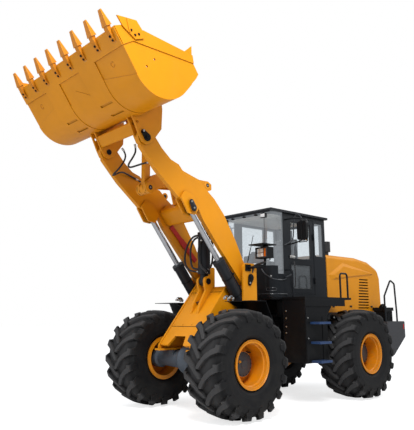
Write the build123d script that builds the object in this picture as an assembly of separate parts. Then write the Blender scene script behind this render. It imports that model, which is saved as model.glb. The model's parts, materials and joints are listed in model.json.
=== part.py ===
"""Articulated wheel loader with a raised Z-bar linkage, in millimetres.

X points forward, Y to the left and Z up. Shapes are laid out from the articulation hinge and are moved
by HINGE_X and LAYOUT_Z when they are written, so that the tyres stand on the ground and the origin lies
there, under the middle of the machine.
"""
from build123d import *
from math import atan2, cos, degrees, hypot, radians, sin
import os

os.makedirs("parts", exist_ok=True)

# ---------------------------------------------------------------- driving dimensions
HINGE_X = -398
WHEELBASE = 3300
TYRE_RADIUS = 825
TYRE_WIDTH = 730
TREAD_DROP = 40
LUG_HEIGHT = 48
LUGS_PER_SIDE = 18
WHEEL_Y = 1050
RIM_FLANGE_RADIUS = 367
RIM_RADIUS = 318
RIM_WIDTH = 654
RIM_WALL = 16
HUB_RADIUS = 198
HUB_FACE_Y = 1170
HUB_BACK_Y = 925
SPINDLE_RADIUS = 70
BEAM_Y = 840
SHAFT_RADIUS = 45
SHAFT_RISE = 120
PAD_TOP_Z = 945
PAD_HALF = 140

PIN_FIT = 0.05
SIDE_GAP = 5
PLATE = 35

ARM_Y = 525
ARM_THICK = 80
EAR_THICK = 30
EYE_WIDTH = 80
FRAME_WALL_IN = 385
FRONT_REAR_X = 300
TOWER_WALL_IN = 630
FENDER_IN = 642
TILT_LUG_IN = 62
TILT_LUG_THICK = 45

BOOM_PIVOT = (900, 2143)
BUCKET_PIVOT = (3085, 4185)
LIFT_BASE = (830, 1500)
LIFT_EYE = (2156, 3214)
TILT_BASE = (1368, 2092)
ROCKER_PIVOT = (1950, 3780)
ROCKER_REAR = (1358, 3776)
ROCKER_FRONT = (2658, 3552)
LINK_TOP = (2655, 4500)
CROSS_BEAM = (1800, 3270)
CROSS_BEAM_LENGTH = 330
CROSS_BEAM_DEPTH = 250
CROSS_BEAM_CORNER = 60

PIVOT_PIN = 45
CYLINDER_PIN = 40
ROCKER_PIN = 55
LINK_PIN = 40
LINK_CAP = 92
ROCKER_IN = 55
ROCKER_THICK = 50
CENTRE_EYE = 90

LIFT_BARREL = 95
LIFT_ROD = 45
LIFT_BARREL_LENGTH = 1150
LIFT_ROD_LENGTH = 1200
TILT_BARREL = 108
TILT_ROD = 50
TILT_BARREL_LENGTH = 860
TILT_ROD_LENGTH = 950

STRUT_WIDTH = 84
STRUT_THICK = 22

BUCKET_HALF = 1418
BUCKET_PLATE = 22
BUCKET_SIDE = 28
SIDE_STRIP = 12
EDGE_BAND = 260
EDGE_PLATE = 16
BAND_IN = 295
BAND_OUT = 725
BAND_PLATE = 16
WEAR_PLATE = 7
BUCKET_LIP = (4250, 5245)
BUCKET_HEEL = (3461, 4125)
BUCKET_HEEL_RADIUS = 525
BUCKET_REAR = (2810, 4941)
BUCKET_TOP = (2892, 5278)
TEETH = 8
TOOTH_PITCH = 373
TOOTH_REACH = 267

LAMP_X = 840
LAMP_Y = 890
LAMP_Z = 2560
LAMP_HALF = 135

HOOD_HALF = 620
HOOD_FRONT = -1400
HOOD_REAR = -3400
HOOD_TOP = 2715
HOOD_WALL = 30
GRILLE_HALF = 533
GRILLE_Z0 = 1607
GRILLE_Z1 = 2250
CREASE = [(-1440, 2300), (-1960, 2570), (-3130, 2410), (-3130, 2380), (-1560, 2200)]
CREASE_TOP = [(-1640, 2315), (-1975, 2500), (-3060, 2398), (-3060, 2392), (-1680, 2255)]
CAB_HALF = 640
CAB_FRONT = 300
CAB_CORNER = 170
CAB_REAR = -1350
CAB_FLOOR = 1830
CAB_TOP = 3400
DECK_FRONT = 330
CAB_WALL = 50
CAB_FLOOR_THICK = 40
ROOF_OVERHANG = 50
DECK_HALF = 1150
STEP_REACH = 180
DOOR_FRONT = -175
DOOR_REAR = -965
DOOR_HINGE = (-965, 655)
GRILLE_HINGE = (HOOD_REAR - 16, GRILLE_HALF + 15)
HINGE_KNUCKLE = 12
HINGE_CORE = 6
GLASS = 6

WEIGHT_TOP = 1367
WEIGHT_REAR = -3600
WEIGHT_HALF = 1050
MIRROR = (-180, 1000, 3030)

TOW_X = WEIGHT_REAR + 65
TOW_RADIUS = 25
TOW_Z0 = 1130
TOW_Z1 = WEIGHT_TOP

HINGE_TOP_Z = 1450
HINGE_LOW_Z = 780
HINGE_PIN = 50
TONGUE_THICK = 60

STEER_Z = 1000
STEER_BASE = (-880, 420)
STEER_EYE = (190, 400)
STEER_BARREL = 52
STEER_ROD = 28
STEER_BARREL_LENGTH = 700
STEER_ROD_LENGTH = 660

FRONT_X = WHEELBASE / 2
REAR_X = -WHEELBASE / 2
AXLE_Z = 788
LAYOUT_Z = TYRE_RADIUS - AXLE_Z


# ---------------------------------------------------------------- shared shapes
def xz_face(outline, radius=0):
    """A face from a closed outline, its corners rounded by one radius."""
    if radius:
        return make_face(FilletPolyline(*outline, radius=radius, close=True))
    return make_face(Polyline(*outline, close=True))


def slab_of(face, y0, y1):
    """A plate from a flat face of X and Z, from y0 to y1."""
    return extrude(Plane.XZ.offset(-y0) * face, amount=y0 - y1)


def slab(outline, y0, y1, radius=0):
    """A plate with an XZ outline, from y0 to y1."""
    return slab_of(xz_face(outline, radius), y0, y1)


def both(shapes):
    """Shapes and their mirror images across the centre plane."""
    return [copy for shape in shapes for copy in (shape, mirror(shape, Plane.XZ))]


def bar_y(point, radius, y0, y1):
    """A round bar along Y."""
    x, z = point
    return Pos(x, (y0 + y1) / 2, z) * Rot(90, 0, 0) * Cylinder(radius, abs(y1 - y0))


def post(x, y, z0, z1, radius):
    """A round bar along Z."""
    return Pos(x, y, (z0 + z1) / 2) * Cylinder(radius, z1 - z0)


def block(x0, x1, y0, y1, z0, z1):
    """A box between two corners."""
    return Pos((x0 + x1) / 2, (y0 + y1) / 2, (z0 + z1) / 2) * Box(x1 - x0, abs(y1 - y0), z1 - z0)


def rod_between(start, end, radius):
    """A round bar between two points."""
    start, end = Vector(*start), Vector(*end)
    plane = Plane(origin=(start + end) / 2, z_dir=end - start)
    return plane * Cylinder(radius, (end - start).length)


def tube_along(points, radius, bend):
    """A round bar that follows straight runs joined by bends."""
    path = FilletPolyline(*points, radius=bend)
    start = Plane(origin=path @ 0, z_dir=path % 0)
    return sweep(start * Circle(radius), path=path)


def toward(start, end, distance):
    """The point at a distance from start toward end."""
    dx, dy = end[0] - start[0], end[1] - start[1]
    length = hypot(dx, dy)
    return (start[0] + dx * distance / length, start[1] + dy * distance / length)


def span(start, end):
    """The distance between two points."""
    return hypot(end[0] - start[0], end[1] - start[1])


def at_y(point, y):
    """An XZ point placed at y."""
    return (point[0], y, point[1])


def hinge_halves(axis, z0, fixed_leaf, moving_leaf):
    """The fixed and the moving half of one 120 mm hinge, each leaf given by its ranges in X and Y."""
    x, y = axis
    fixed = post(x, y, z0, z0 + 60, HINGE_KNUCKLE) + post(x, y, z0, z0 + 120, HINGE_CORE)
    fixed = fixed + block(*fixed_leaf, z0, z0 + 60)
    moving = post(x, y, z0 + 60.5, z0 + 120, HINGE_KNUCKLE) + block(*moving_leaf, z0 + 60.5, z0 + 120)
    return fixed, moving - post(x, y, z0 + 60, z0 + 121, HINGE_CORE + PIN_FIT)


def write(name, shapes):
    """Writes one node, moved from the hinge's frame into the part's own."""
    shapes = shapes if isinstance(shapes, list) else [shapes]
    solids = [Pos(HINGE_X, 0, LAYOUT_Z) * solid for shape in shapes for solid in shape.solids()]
    part = solids[0] if len(solids) == 1 else Compound(children=solids)
    part.label = name
    export_step(part, f"parts/{name}.step")


# ---------------------------------------------------------------- wheels and axles
def lug():
    """One tread lug in the tyre's own frame: a curved bar across the tread and a block down the sidewall."""
    half = TYRE_WIDTH / 2
    outline = [(-32, -158), (-12, -108), (112, 30), (224, 110), (half - 14, 168), (half - 14, 96), (232, 42),
               (132, -34), (8, -164)]
    bar = extrude(Pos(0, 0, TYRE_RADIUS + 5) * make_face(Polyline(*outline, close=True)), amount=-175,
                  taper=-9)
    side = make_face(Polyline((-50, TYRE_RADIUS - 20), (50, TYRE_RADIUS - 20), (38, 622), (-38, 622),
                              close=True))
    shoulder = Rot(-10.2, 0, 0) * extrude(Plane.YZ.offset(half - 75) * side, amount=90)
    top = TYRE_RADIUS - TREAD_DROP
    outline = [(half - 13, top), (half + 9, top - 75), (half + 8, 632), (half - 60, 618)]
    outline = [(150, TYRE_RADIUS - 4)] + outline
    outline = [(-x, r) for x, r in outline[::-1]] + [(0, TYRE_RADIUS)] + outline
    envelope = revolve(make_face(Polyline(*outline, close=True)), axis=Axis.X)
    return (bar + shoulder) & envelope


def tyre():
    """A wide crowned tyre about the Y axis, with chevron lugs out to its radius."""
    half = TYRE_WIDTH / 2
    casing = TYRE_RADIUS - LUG_HEIGHT
    edge_r = casing - TREAD_DROP
    bead = RIM_WIDTH / 2 - 30
    outline = [(180, casing - 6), (half - 62, edge_r + 4), (half - 32, edge_r - 24), (half - 6, 680),
               (half, 590), (half - 5, 500), (half - 20, 430), (bead, RIM_FLANGE_RADIUS + 12),
               (bead, RIM_RADIUS + 1)]
    outline = [(-x, r) for x, r in outline[::-1]] + outline
    body = revolve(make_face(Polyline(*outline, close=True)), axis=Axis.X)
    one = lug()
    step = 360 / LUGS_PER_SIDE
    turns = [Rot(turn * step, 0, 0) for turn in range(LUGS_PER_SIDE)]
    lugs = [turn * one for turn in turns]
    lugs += [turn * Rot(step / 2, 0, 0) * mirror(one, Plane.YZ) for turn in turns]
    return Rot(0, 0, 90) * body.fuse(*lugs)


def rim():
    """A deep rim about the Y axis with its hub, its open side toward +Y."""
    half = RIM_WIDTH / 2
    face_y = HUB_FACE_Y - WHEEL_Y
    back_y = HUB_BACK_Y - WHEEL_Y
    inner = RIM_RADIUS - RIM_WALL
    bore = SPINDLE_RADIUS + PIN_FIT
    disc_y = face_y - 150
    outline = [(disc_y, inner), (disc_y, HUB_RADIUS - 30), (back_y, HUB_RADIUS - 30), (back_y, bore),
               (face_y - 20, bore), (face_y - 20, 0), (face_y, 0), (face_y, HUB_RADIUS - 12),
               (face_y - 20, HUB_RADIUS), (disc_y + 30, HUB_RADIUS), (disc_y + 30, inner), (half - 70, inner),
               (half - 55, inner + 18), (half - 12, inner + 18), (half - 12, RIM_FLANGE_RADIUS - 14),
               (half, RIM_FLANGE_RADIUS - 6), (half, RIM_FLANGE_RADIUS), (half - 22, RIM_FLANGE_RADIUS),
               (half - 30, RIM_RADIUS), (-half + 30, RIM_RADIUS), (-half + 22, RIM_FLANGE_RADIUS),
               (-half, RIM_FLANGE_RADIUS), (-half, inner)]
    return Rot(0, 0, 90) * revolve(make_face(Polyline(*outline, close=True)), axis=Axis.X)


def axle(x, shaft_end):
    """A drive axle across the machine, with its spindles, pads and the shaft that drives it."""
    drum_end = HUB_BACK_Y - 8
    spindle_end = HUB_FACE_Y - 25
    outline = [(0, 0), (0, 235), (110, 235), (210, 165), (330, 150), (BEAM_Y - 60, 120), (BEAM_Y - 40, 165),
               (drum_end, 165), (drum_end, SPINDLE_RADIUS), (spindle_end, SPINDLE_RADIUS), (spindle_end, 0)]
    half = revolve(make_face(Polyline(*outline, close=True)), axis=Axis.X)
    beam = Rot(0, 0, 90) * (half + mirror(half, Plane.YZ))
    shaft = rod_between((0, 0, SHAFT_RISE), (shaft_end - x, 0, SHAFT_RISE), SHAFT_RADIUS)
    pads = both([block(-PAD_HALF, PAD_HALF, 330, 440, 60, PAD_TOP_Z - AXLE_Z)])
    return Pos(x, 0, AXLE_Z) * beam.fuse(shaft, *pads)


# ---------------------------------------------------------------- front frame
def hinge_plate(reach, tip, base_half, z0, z1, bore):
    """A horizontal plate that widens from a round tip at the hinge to a base, bored on the hinge axis."""
    back = -0.35 * tip * reach / abs(reach)
    outline = [(back, 0.93 * tip), (reach, base_half), (reach, -base_half), (back, -0.93 * tip)]
    plate = extrude(Pos(0, 0, z0) * make_face(Polyline(*outline, close=True)), amount=z1 - z0)
    return (plate + post(0, 0, z0, z1, tip)) - post(0, 0, z0 - 1, z1 + 1, bore)


def tilt_lug():
    """The left one of two lugs that hold the tilt cylinder's base on the nose cover."""
    x, z = TILT_BASE
    outline = [(x - 88, z + 20), (x + 84, z + 24), (x + 80, z - 80), (x + 55, z - 155), (x + 200, z - 400),
               (x + 250, z - 595), (x - 100, z - 161)]
    out = TILT_LUG_IN + TILT_LUG_THICK
    return slab(outline, TILT_LUG_IN, out, 14) + bar_y(TILT_BASE, 88, TILT_LUG_IN, out)


def front_frame():
    """Side walls, towers, nose cover, tilt lugs and the front half of the hinge."""
    wall = [(FRONT_REAR_X, 700), (FRONT_REAR_X, 1540), (620, 1640), (745, 1900), (745, 2390), (1080, 2390),
            (1080, 2180), (1195, 2062), (2040, 1030), (2040, PAD_TOP_Z), (1470, PAD_TOP_Z), (1400, 840),
            (1300, 700)]
    tower = [(690, 1340), (985, 1340), (1080, 1700), (1080, 2390), (745, 2390), (745, 1700)]
    wall_out = FRAME_WALL_IN + PLATE
    left = [slab(wall, FRAME_WALL_IN, wall_out, 30),
            slab(tower, TOWER_WALL_IN, TOWER_WALL_IN + PLATE, 90),
            block(690, 800, wall_out, TOWER_WALL_IN, 1340, 1370),
            slab([(695, 1350), (720, 1350), (775, 1960), (750, 1960)], wall_out, TOWER_WALL_IN),
            block(1480, 2060, 320, 480, PAD_TOP_Z, PAD_TOP_Z + 30),
            tilt_lug()]
    cover = slab([(1195, 2000), (1230, 2000), (2015, 1040), (1980, 1015)], -FRAME_WALL_IN, FRAME_WALL_IN)
    arch_face = make_face(Polyline((-260, 900), (-130, 1180), (130, 1180), (260, 900), close=True))
    cover = cover - extrude(Plane.YZ.offset(1700) * arch_face, amount=400)
    top = block(1080, 1220, -FRAME_WALL_IN, FRAME_WALL_IN, 1975, 2000)
    rear = block(FRONT_REAR_X, FRONT_REAR_X + 30, -470, 470, 700, 1540)
    rear = rear - block(FRONT_REAR_X - 1, FRONT_REAR_X + 31, -150, 150, 860, 1360)
    bottom = block(FRONT_REAR_X, 1300, -FRAME_WALL_IN, FRAME_WALL_IN, 700, 725)
    pieces = both(left) + [cover, top, rear, bottom]
    for z in (HINGE_TOP_Z, HINGE_LOW_Z):
        low = z - TONGUE_THICK / 2 - SIDE_GAP - 40
        high = z + TONGUE_THICK / 2 + SIDE_GAP
        for z0 in (low, high):
            pieces.append(hinge_plate(FRONT_REAR_X + 10, 110, 300, z0, z0 + 40, HINGE_PIN - 1))
        pieces.append(post(0, 0, low, high + 55, HINGE_PIN))
    x, y = STEER_EYE
    for z0 in (STEER_Z + EYE_WIDTH / 2 + SIDE_GAP, STEER_Z - EYE_WIDTH / 2 - SIDE_GAP - 25):
        pieces += both([block(x - 55, FRONT_REAR_X + 5, y - 65, y + 65, z0, z0 + 25)])
    body = pieces[0].fuse(*pieces[1:])
    bores = [bar_y(TILT_BASE, CYLINDER_PIN + PIN_FIT, -200, 200)]
    return body.cut(*bores)


def boom_pivot_pins():
    """The boom's two pivot pins in the towers, each with its keeper plate."""
    wall_out = TOWER_WALL_IN + PLATE
    pin = bar_y(BOOM_PIVOT, PIVOT_PIN, FRAME_WALL_IN + PLATE, TOWER_WALL_IN)
    keeper = keeper_plate(BOOM_PIVOT, -72, wall_out)
    return both([pin]), both([keeper])


def keeper_plate(point, turn, y0):
    """A pear-shaped keeper plate on an outer face at y0, its tail turned by an angle in the XZ plane."""
    x, z = point
    tail = (x + 105 * cos(radians(turn)), z + 105 * sin(radians(turn)))
    plate = bar_y(point, 62, y0, y0 + 18) + bar_y(tail, 36, y0, y0 + 18)
    nx, nz = -sin(radians(turn)), cos(radians(turn))
    sides = [(x + 62 * nx, z + 62 * nz), (x - 62 * nx, z - 62 * nz), (tail[0] - 36 * nx, tail[1] - 36 * nz),
             (tail[0] + 36 * nx, tail[1] + 36 * nz)]
    return plate + slab(sides, y0, y0 + 18) + bar_y(tail, 20, y0, y0 + 32)


def front_fenders():
    """Cranked fender plates over the front wheels, each on a rib from its tower."""
    outline = [(1500, 1742), (1150, 1742), (860, 1190), (868, 1186), (1156, 1732), (1500, 1732)]
    wall_out = TOWER_WALL_IN + PLATE
    plate = slab(outline, FENDER_IN, 1220) - block(800, 1085, FENDER_IN - 5, wall_out, 1100, 1750)
    rib = slab([(1470, 1736), (1152, 1736), (880, 1215), (935, 1215), (1060, 1440), (1250, 1640)], wall_out,
               wall_out + 20)
    return both([plate + rib])


def headlights():
    """Headlight boxes on arms from the towers, each under a cover slab."""
    wall_out = TOWER_WALL_IN + PLATE
    foot_x = LAMP_X - 70
    arm = tube_along([(960, wall_out, 2310), (960, 800, 2310), (foot_x, LAMP_Y, 2350),
                      (foot_x, LAMP_Y, LAMP_Z - 95)], 22, 40)
    plate = block(900, 1030, wall_out, wall_out + 14, 2255, 2365)
    body = block(LAMP_X - 140, LAMP_X, LAMP_Y - LAMP_HALF, LAMP_Y + LAMP_HALF, LAMP_Z - 95, LAMP_Z + 95)
    hood = block(LAMP_X, LAMP_X + 26, LAMP_Y - LAMP_HALF, LAMP_Y + LAMP_HALF, LAMP_Z - 95, LAMP_Z + 95)
    hood = hood - block(LAMP_X - 1, LAMP_X + 27, LAMP_Y - LAMP_HALF + 12, LAMP_Y + LAMP_HALF - 12,
                        LAMP_Z - 83, LAMP_Z + 83)
    cover = block(LAMP_X - 180, LAMP_X + 160, LAMP_Y - 165, LAMP_Y + 165, LAMP_Z + 125, LAMP_Z + 143)
    neck = block(LAMP_X - 120, LAMP_X - 60, LAMP_Y - 30, LAMP_Y + 30, LAMP_Z + 95, LAMP_Z + 125)
    return both([arm + plate + body + hood + cover + neck])


def headlight_lenses():
    """Clear lamp lenses and amber turn lamps on the front of the headlight boxes."""
    low, high = LAMP_Y - LAMP_HALF + 14, LAMP_Y + LAMP_HALF - 14
    clear = block(LAMP_X, LAMP_X + 12, low, low + 160, LAMP_Z - 80, LAMP_Z + 80)
    return both([clear, block(LAMP_X, LAMP_X + 12, low + 166, high, LAMP_Z - 80, LAMP_Z + 80)])


# ---------------------------------------------------------------- boom
def boom():
    """Two arms, the cross beam between them, the rocker's brackets and the lift cylinders' ears."""
    ax, az = BOOM_PIVOT
    upper = [(2970, 4320), (2767, 4087), (2585, 3938), (2425, 3888), (2340, 3800), (1985, 3703), (1850, 3580),
             (1646, 3432), (1426, 3193), (1148, 2766), (960, 2420), (ax - 130, az + 90)]
    lower = [(ax - 110, az - 110), (ax + 90, az - 120), (1553, 2642), (1904, 3049), (2050, 3300),
             (2300, 3330), (2420, 3352), (2860, 3713), (3190, 4060)]
    arm = slab(upper + lower, ARM_Y - ARM_THICK / 2, ARM_Y + ARM_THICK / 2, 40)
    arm = arm.fuse(bar_y(BUCKET_PIVOT, 140, ARM_Y - ARM_THICK / 2, ARM_Y + ARM_THICK / 2))
    arm = arm - bar_y(LIFT_EYE, 118, 0, 900)
    hub = bar_y(BOOM_PIVOT, 110, FRAME_WALL_IN + PLATE + SIDE_GAP, TOWER_WALL_IN - SIDE_GAP)
    fx, fz = LIFT_EYE
    ear_outline = [(fx - 60, fz - 110), (fx + 95, fz - 95), (fx + 250, fz + 140), (fx + 170, fz + 260),
                   (fx - 20, fz + 200), (fx - 130, fz + 30)]
    filler_outline = [(fx - 60, fz + 130), (fx + 150, fz + 60), (fx + 250, fz + 140), (fx + 170, fz + 260),
                      (fx - 20, fz + 200)]
    out0 = ARM_Y + EYE_WIDTH / 2 + SIDE_GAP + 5
    in0 = ARM_Y - EYE_WIDTH / 2 - SIDE_GAP - 5
    ears = [slab(ear_outline, out0, out0 + EAR_THICK, 45), slab(ear_outline, in0 - EAR_THICK, in0, 45),
            slab(filler_outline, ARM_Y + ARM_THICK / 2, out0),
            slab(filler_outline, in0, ARM_Y - ARM_THICK / 2)]
    pin_cap = keeper_plate(LIFT_EYE, 68, out0 + EAR_THICK)
    left = [arm.fuse(hub, *ears, pin_cap)]
    cx, cz = CROSS_BEAM
    slope = 48
    beam = Box(CROSS_BEAM_LENGTH, 2 * (ARM_Y - ARM_THICK / 2), CROSS_BEAM_DEPTH)
    beam = Pos(cx, 0, cz) * Rot(0, -slope, 0) * fillet(beam.edges().filter_by(Axis.Y), CROSS_BEAM_CORNER)
    px, pz = ROCKER_PIVOT
    bracket_in = ROCKER_IN + ROCKER_THICK + SIDE_GAP * 2
    bracket = slab([(cx - 130, cz + 60), (cx + 150, cz + 130), (px + 95, pz - 60), (px + 60, pz + 110),
                    (px - 90, pz + 90)], bracket_in, bracket_in + 40, 40)
    pieces = both(left) + [beam] + both([bracket])
    body = pieces[0].fuse(*pieces[1:])
    bores = [bar_y(ROCKER_PIVOT, ROCKER_PIN + PIN_FIT, -200, 200)]
    bores += both([bar_y(BOOM_PIVOT, PIVOT_PIN + PIN_FIT, 300, 700),
                   bar_y(BUCKET_PIVOT, PIVOT_PIN + PIN_FIT, 400, 700)])
    return body.cut(*bores)


def safety_strut():
    """The red flat stay that is stowed along the inner face of the right arm, wider at its middle."""
    arm_face = ARM_THICK / 2 - ARM_Y
    y = arm_face + 3
    upper, lower = (1735, 3080), (1145, 2495)
    length = span(upper, lower)
    half, middle = STRUT_WIDTH / 2, STRUT_WIDTH / 2 + 14
    outline = [(0, -half), (length / 2 - 110, -half), (length / 2 - 60, -middle), (length / 2 + 60, -middle),
               (length / 2 + 110, -half), (length, -half)]
    outline = outline + [(along, -out) for along, out in outline[::-1]]
    turn = degrees(atan2(upper[1] - lower[1], upper[0] - lower[0]))
    face = Pos(lower[0], lower[1]) * Rot(0, 0, turn) * make_face(Polyline(*outline, close=True))
    stay = slab_of(face, y, y + STRUT_THICK)
    for end in (toward(upper, lower, 90), toward(lower, upper, 90)):
        stay = stay + bar_y(end, 14, arm_face, y + 1)
    return stay


# ---------------------------------------------------------------- bucket
def bucket_face():
    """The bucket's side outline."""
    outline = [BUCKET_LIP, BUCKET_HEEL, BUCKET_REAR, (2768, 5020), (2865, 5154), BUCKET_TOP, (3780, 5345),
               (4127, 5300)]
    face = make_face(Polyline(*outline, close=True))
    heel = face.vertices().sort_by_distance((BUCKET_HEEL[0], BUCKET_HEEL[1], 0))[0]
    return fillet(heel, BUCKET_HEEL_RADIUS)


def floor_point(along, out):
    """A point from the bucket's lip, back along its floor and out of its underside."""
    (ux, uz), (nx, nz) = edge_side()
    return (BUCKET_LIP[0] - along * ux + out * nx, BUCKET_LIP[1] - along * uz + out * nz)


def floor_prism(outline, out=200):
    """A prism across the bucket's floor from an outline of Y and of distance back from the lip."""
    (ux, uz), (nx, nz) = edge_side()
    x, z = floor_point(0, -900)
    plane = Plane(origin=(x, 0, z), x_dir=(0, 1, 0), z_dir=(nx, 0, nz))
    sign = 1 if plane.y_dir.X * ux > 0 else -1
    face = make_face(Polyline(*[(y, -sign * along) for y, along in outline], close=True))
    return extrude(plane * face, amount=900 + out)


def wear_plates(face, envelope):
    """The base edge, the two wide bands and the thinner wear plates under the bucket's floor."""
    edge = slab([floor_point(0, 0), floor_point(EDGE_BAND, 0), floor_point(EDGE_BAND, EDGE_PLATE),
                 floor_point(24, EDGE_PLATE)], -BUCKET_HALF, BUCKET_HALF)
    keep_low = slab([floor_point(EDGE_BAND, 900), floor_point(EDGE_BAND, -900), floor_point(2600, -900),
                     floor_point(2600, 900)], -2000, 2000)
    keep_low = keep_low - slab([(2300, 4930), (2900, 4830), (3300, 4600), (3900, 5600), (2300, 5600)],
                               -2000, 2000)
    band = (slab_of(offset(face, BAND_PLATE), BAND_IN, BAND_OUT) - envelope) & keep_low
    slots = [floor_prism([(BAND_IN + 55, along), (BAND_OUT - 80, along), (BAND_OUT - 80, along + 34),
                          (BAND_IN + 55, along + 34)]) for along in (830, 1010)]
    band = band - slots[0] - slots[1]
    skin = slab_of(offset(face, WEAR_PLATE), -BUCKET_HALF, BUCKET_HALF) - envelope
    skin = skin & keep_low
    outer = skin & floor_prism([(BAND_OUT, 530), (BUCKET_HALF, 674), (BUCKET_HALF, 1700), (BAND_OUT, 1700)])
    middle = skin & floor_prism([(0, 470), (BAND_IN, 635), (BAND_IN, 1700), (-BAND_IN, 1700),
                                 (-BAND_IN, 635)])
    return both([band, outer]) + [edge - envelope, middle]


def bucket():
    """The bucket's shell, edge plate, side strips and cutters, bands, hinge ears and link ears."""
    face = bucket_face()
    envelope = slab_of(face, -BUCKET_HALF, BUCKET_HALF)
    inner_half = BUCKET_HALF - BUCKET_SIDE
    cavity = slab_of(offset(face, -BUCKET_PLATE), -inner_half, inner_half)
    mouth = slab([(2915, 5200), (4170, 5180), (4215, 5260), (4215, 5500), (2915, 5500)], -inner_half,
                 inner_half)
    holes = [bar_y(point, 17, BUCKET_HALF - 60, BUCKET_HALF + 10) for point in ((3706, 4850), (3580, 4994))]
    shell = envelope.cut(cavity, mouth, *both(holes))
    bx, bz = BUCKET_PIVOT
    ear = [(3430, 4560), (3330, 4400), (bx + 150, bz + 20), (bx + 90, bz - 85), (bx, bz - 118),
           (bx - 95, bz - 60),
           (2808, 4374), (2795, 4700), (2840, 4990), (3100, 4800)]
    in0 = ARM_Y - ARM_THICK / 2 - SIDE_GAP - EAR_THICK
    out0 = ARM_Y + ARM_THICK / 2 + SIDE_GAP
    kx, kz = LINK_TOP
    link_ear = [(kx - 80, kz - 75), (kx + 60, kz - 95), (2960, 4560), (3050, 4700), (2860, 4960),
                (2790, 5000),
                (kx - 95, kz + 60)]
    ears = [slab(ear, in0, in0 + EAR_THICK, 30) - bar_y((3268, 4392), 24, in0 - 1, in0 + EAR_THICK + 1),
            slab(ear, out0, out0 + EAR_THICK, 30) - bar_y((3268, 4392), 24, out0 - 1, out0 + EAR_THICK + 1),
            slab(link_ear, ROCKER_IN, ROCKER_IN + 40, 40)]
    ears = [piece - envelope for piece in ears]
    beam = Box(190, 2 * in0 + 10, 200)
    beam = Pos(bx + 110, 0, bz + 175) * Rot(0, 30, 0) * fillet(beam.edges().filter_by(Axis.Y), 30)
    strip_out = BUCKET_HALF + SIDE_STRIP
    strip = slab([(2866, 5160), (3948, 5135), floor_point(EDGE_BAND, 0), BUCKET_LIP, (4127, 5300),
                  (3780, 5345),
                  BUCKET_TOP], BUCKET_HALF, strip_out)
    cutter = slab([(4127, 5273), (4229, 5393), (3917, 5434), (3823, 5337), (3785, 5218), (3923, 5158)],
                  strip_out, strip_out + 20)
    rib = slab([(4010, 5230), (4030, 5225), (4080, 5400), (4058, 5405)], strip_out + 20, strip_out + 30)
    guard = slab([(3042, 5288), (2878, 5448), (2872, 5270)], BUCKET_HALF - 40, BUCKET_HALF - 30)
    caps = [bar_y(LINK_TOP, 52, ROCKER_IN + 40, ROCKER_IN + 52)]
    pieces = both(ears + [strip, cutter, rib, guard] + caps) + wear_plates(face, envelope) + [beam - envelope]
    body = shell.fuse(*pieces)
    return body.cut(*both([bar_y(BUCKET_PIVOT, PIVOT_PIN + PIN_FIT, 400, 700)]))


def edge_side():
    """The unit vector along the bucket's floor toward the teeth, and the one out of its underside."""
    length = span(BUCKET_HEEL, BUCKET_LIP)
    ux, uz = (BUCKET_LIP[0] - BUCKET_HEEL[0]) / length, (BUCKET_LIP[1] - BUCKET_HEEL[1]) / length
    return (ux, uz), (uz, -ux)


def bucket_teeth():
    """Eight teeth on adapters that are bolted under the bucket's edge."""
    (ux, uz), (nx, nz) = edge_side()
    out = EDGE_PLATE

    def place(along, out):
        return (BUCKET_LIP[0] + along * ux + out * nx, BUCKET_LIP[1] + along * uz + out * nz)

    teeth = []
    for number in range(TEETH):
        y = (number - (TEETH - 1) / 2) * TOOTH_PITCH
        adapter = slab([place(-190, out), place(-120, 44), place(0, 56), place(60, 50), place(60, -12),
                        place(2, -8),
                        place(2, 0), place(-20, out)], y - 40, y + 40)
        base_x, base_z = place(40, 16)
        base = Plane(origin=(base_x, y, base_z), x_dir=(0, 1, 0), z_dir=(ux, 0, uz))
        tip_x, tip_z = place(TOOTH_REACH, 6)
        tip = Plane(origin=(tip_x, y, tip_z), x_dir=(0, 1, 0), z_dir=(ux, 0, uz))
        point = loft([base * Rectangle(112, 88), tip * Rectangle(62, 16)])
        teeth.append(adapter + point)
    return teeth


def bucket_pins():
    """The bucket's two hinge pins with their keeper plates outside the ears."""
    in0 = ARM_Y - ARM_THICK / 2 - SIDE_GAP - EAR_THICK
    out0 = ARM_Y + ARM_THICK / 2 + SIDE_GAP + EAR_THICK
    pin = bar_y(BUCKET_PIVOT, PIVOT_PIN, in0 - 12, out0 + 0.3)
    return both([pin + keeper_plate(BUCKET_PIVOT, 42, out0 + 0.3)])


# ---------------------------------------------------------------- rocker and link
def rocker():
    """Two curved plates on a hub, between the tilt cylinder and the link."""
    px, pz = ROCKER_PIVOT
    ux, uz = ROCKER_REAR
    lx, lz = ROCKER_FRONT
    outline = [(lx + 85, lz - 60), (lx + 90, lz + 60), (lx - 90, lz + 230), (px + 200, pz + 165),
               (px - 100, pz + 150), (px - 380, pz + 80), (ux, uz + 88), (ux - 80, uz + 40),
               (ux - 80, uz - 60), (ux, uz - 88), (px - 250, pz - 100), (px - 60, pz - 150),
               (px + 150, pz - 150), (lx - 290, lz + 50), (lx - 100, lz - 30), (lx, lz - 98)]
    plate = slab(outline, ROCKER_IN, ROCKER_IN + ROCKER_THICK, 30)
    hub = bar_y(ROCKER_PIVOT, 100, -ROCKER_IN - ROCKER_THICK, ROCKER_IN + ROCKER_THICK)
    out0 = ROCKER_IN + ROCKER_THICK
    caps = [bar_y(ROCKER_REAR, 42, out0, out0 + 8)]
    body = hub.fuse(*both([plate] + caps))
    return body.cut(bar_y(ROCKER_PIVOT, ROCKER_PIN + PIN_FIT, -200, 200),
                    bar_y(ROCKER_FRONT, LINK_PIN + PIN_FIT, -200, 200))


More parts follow.
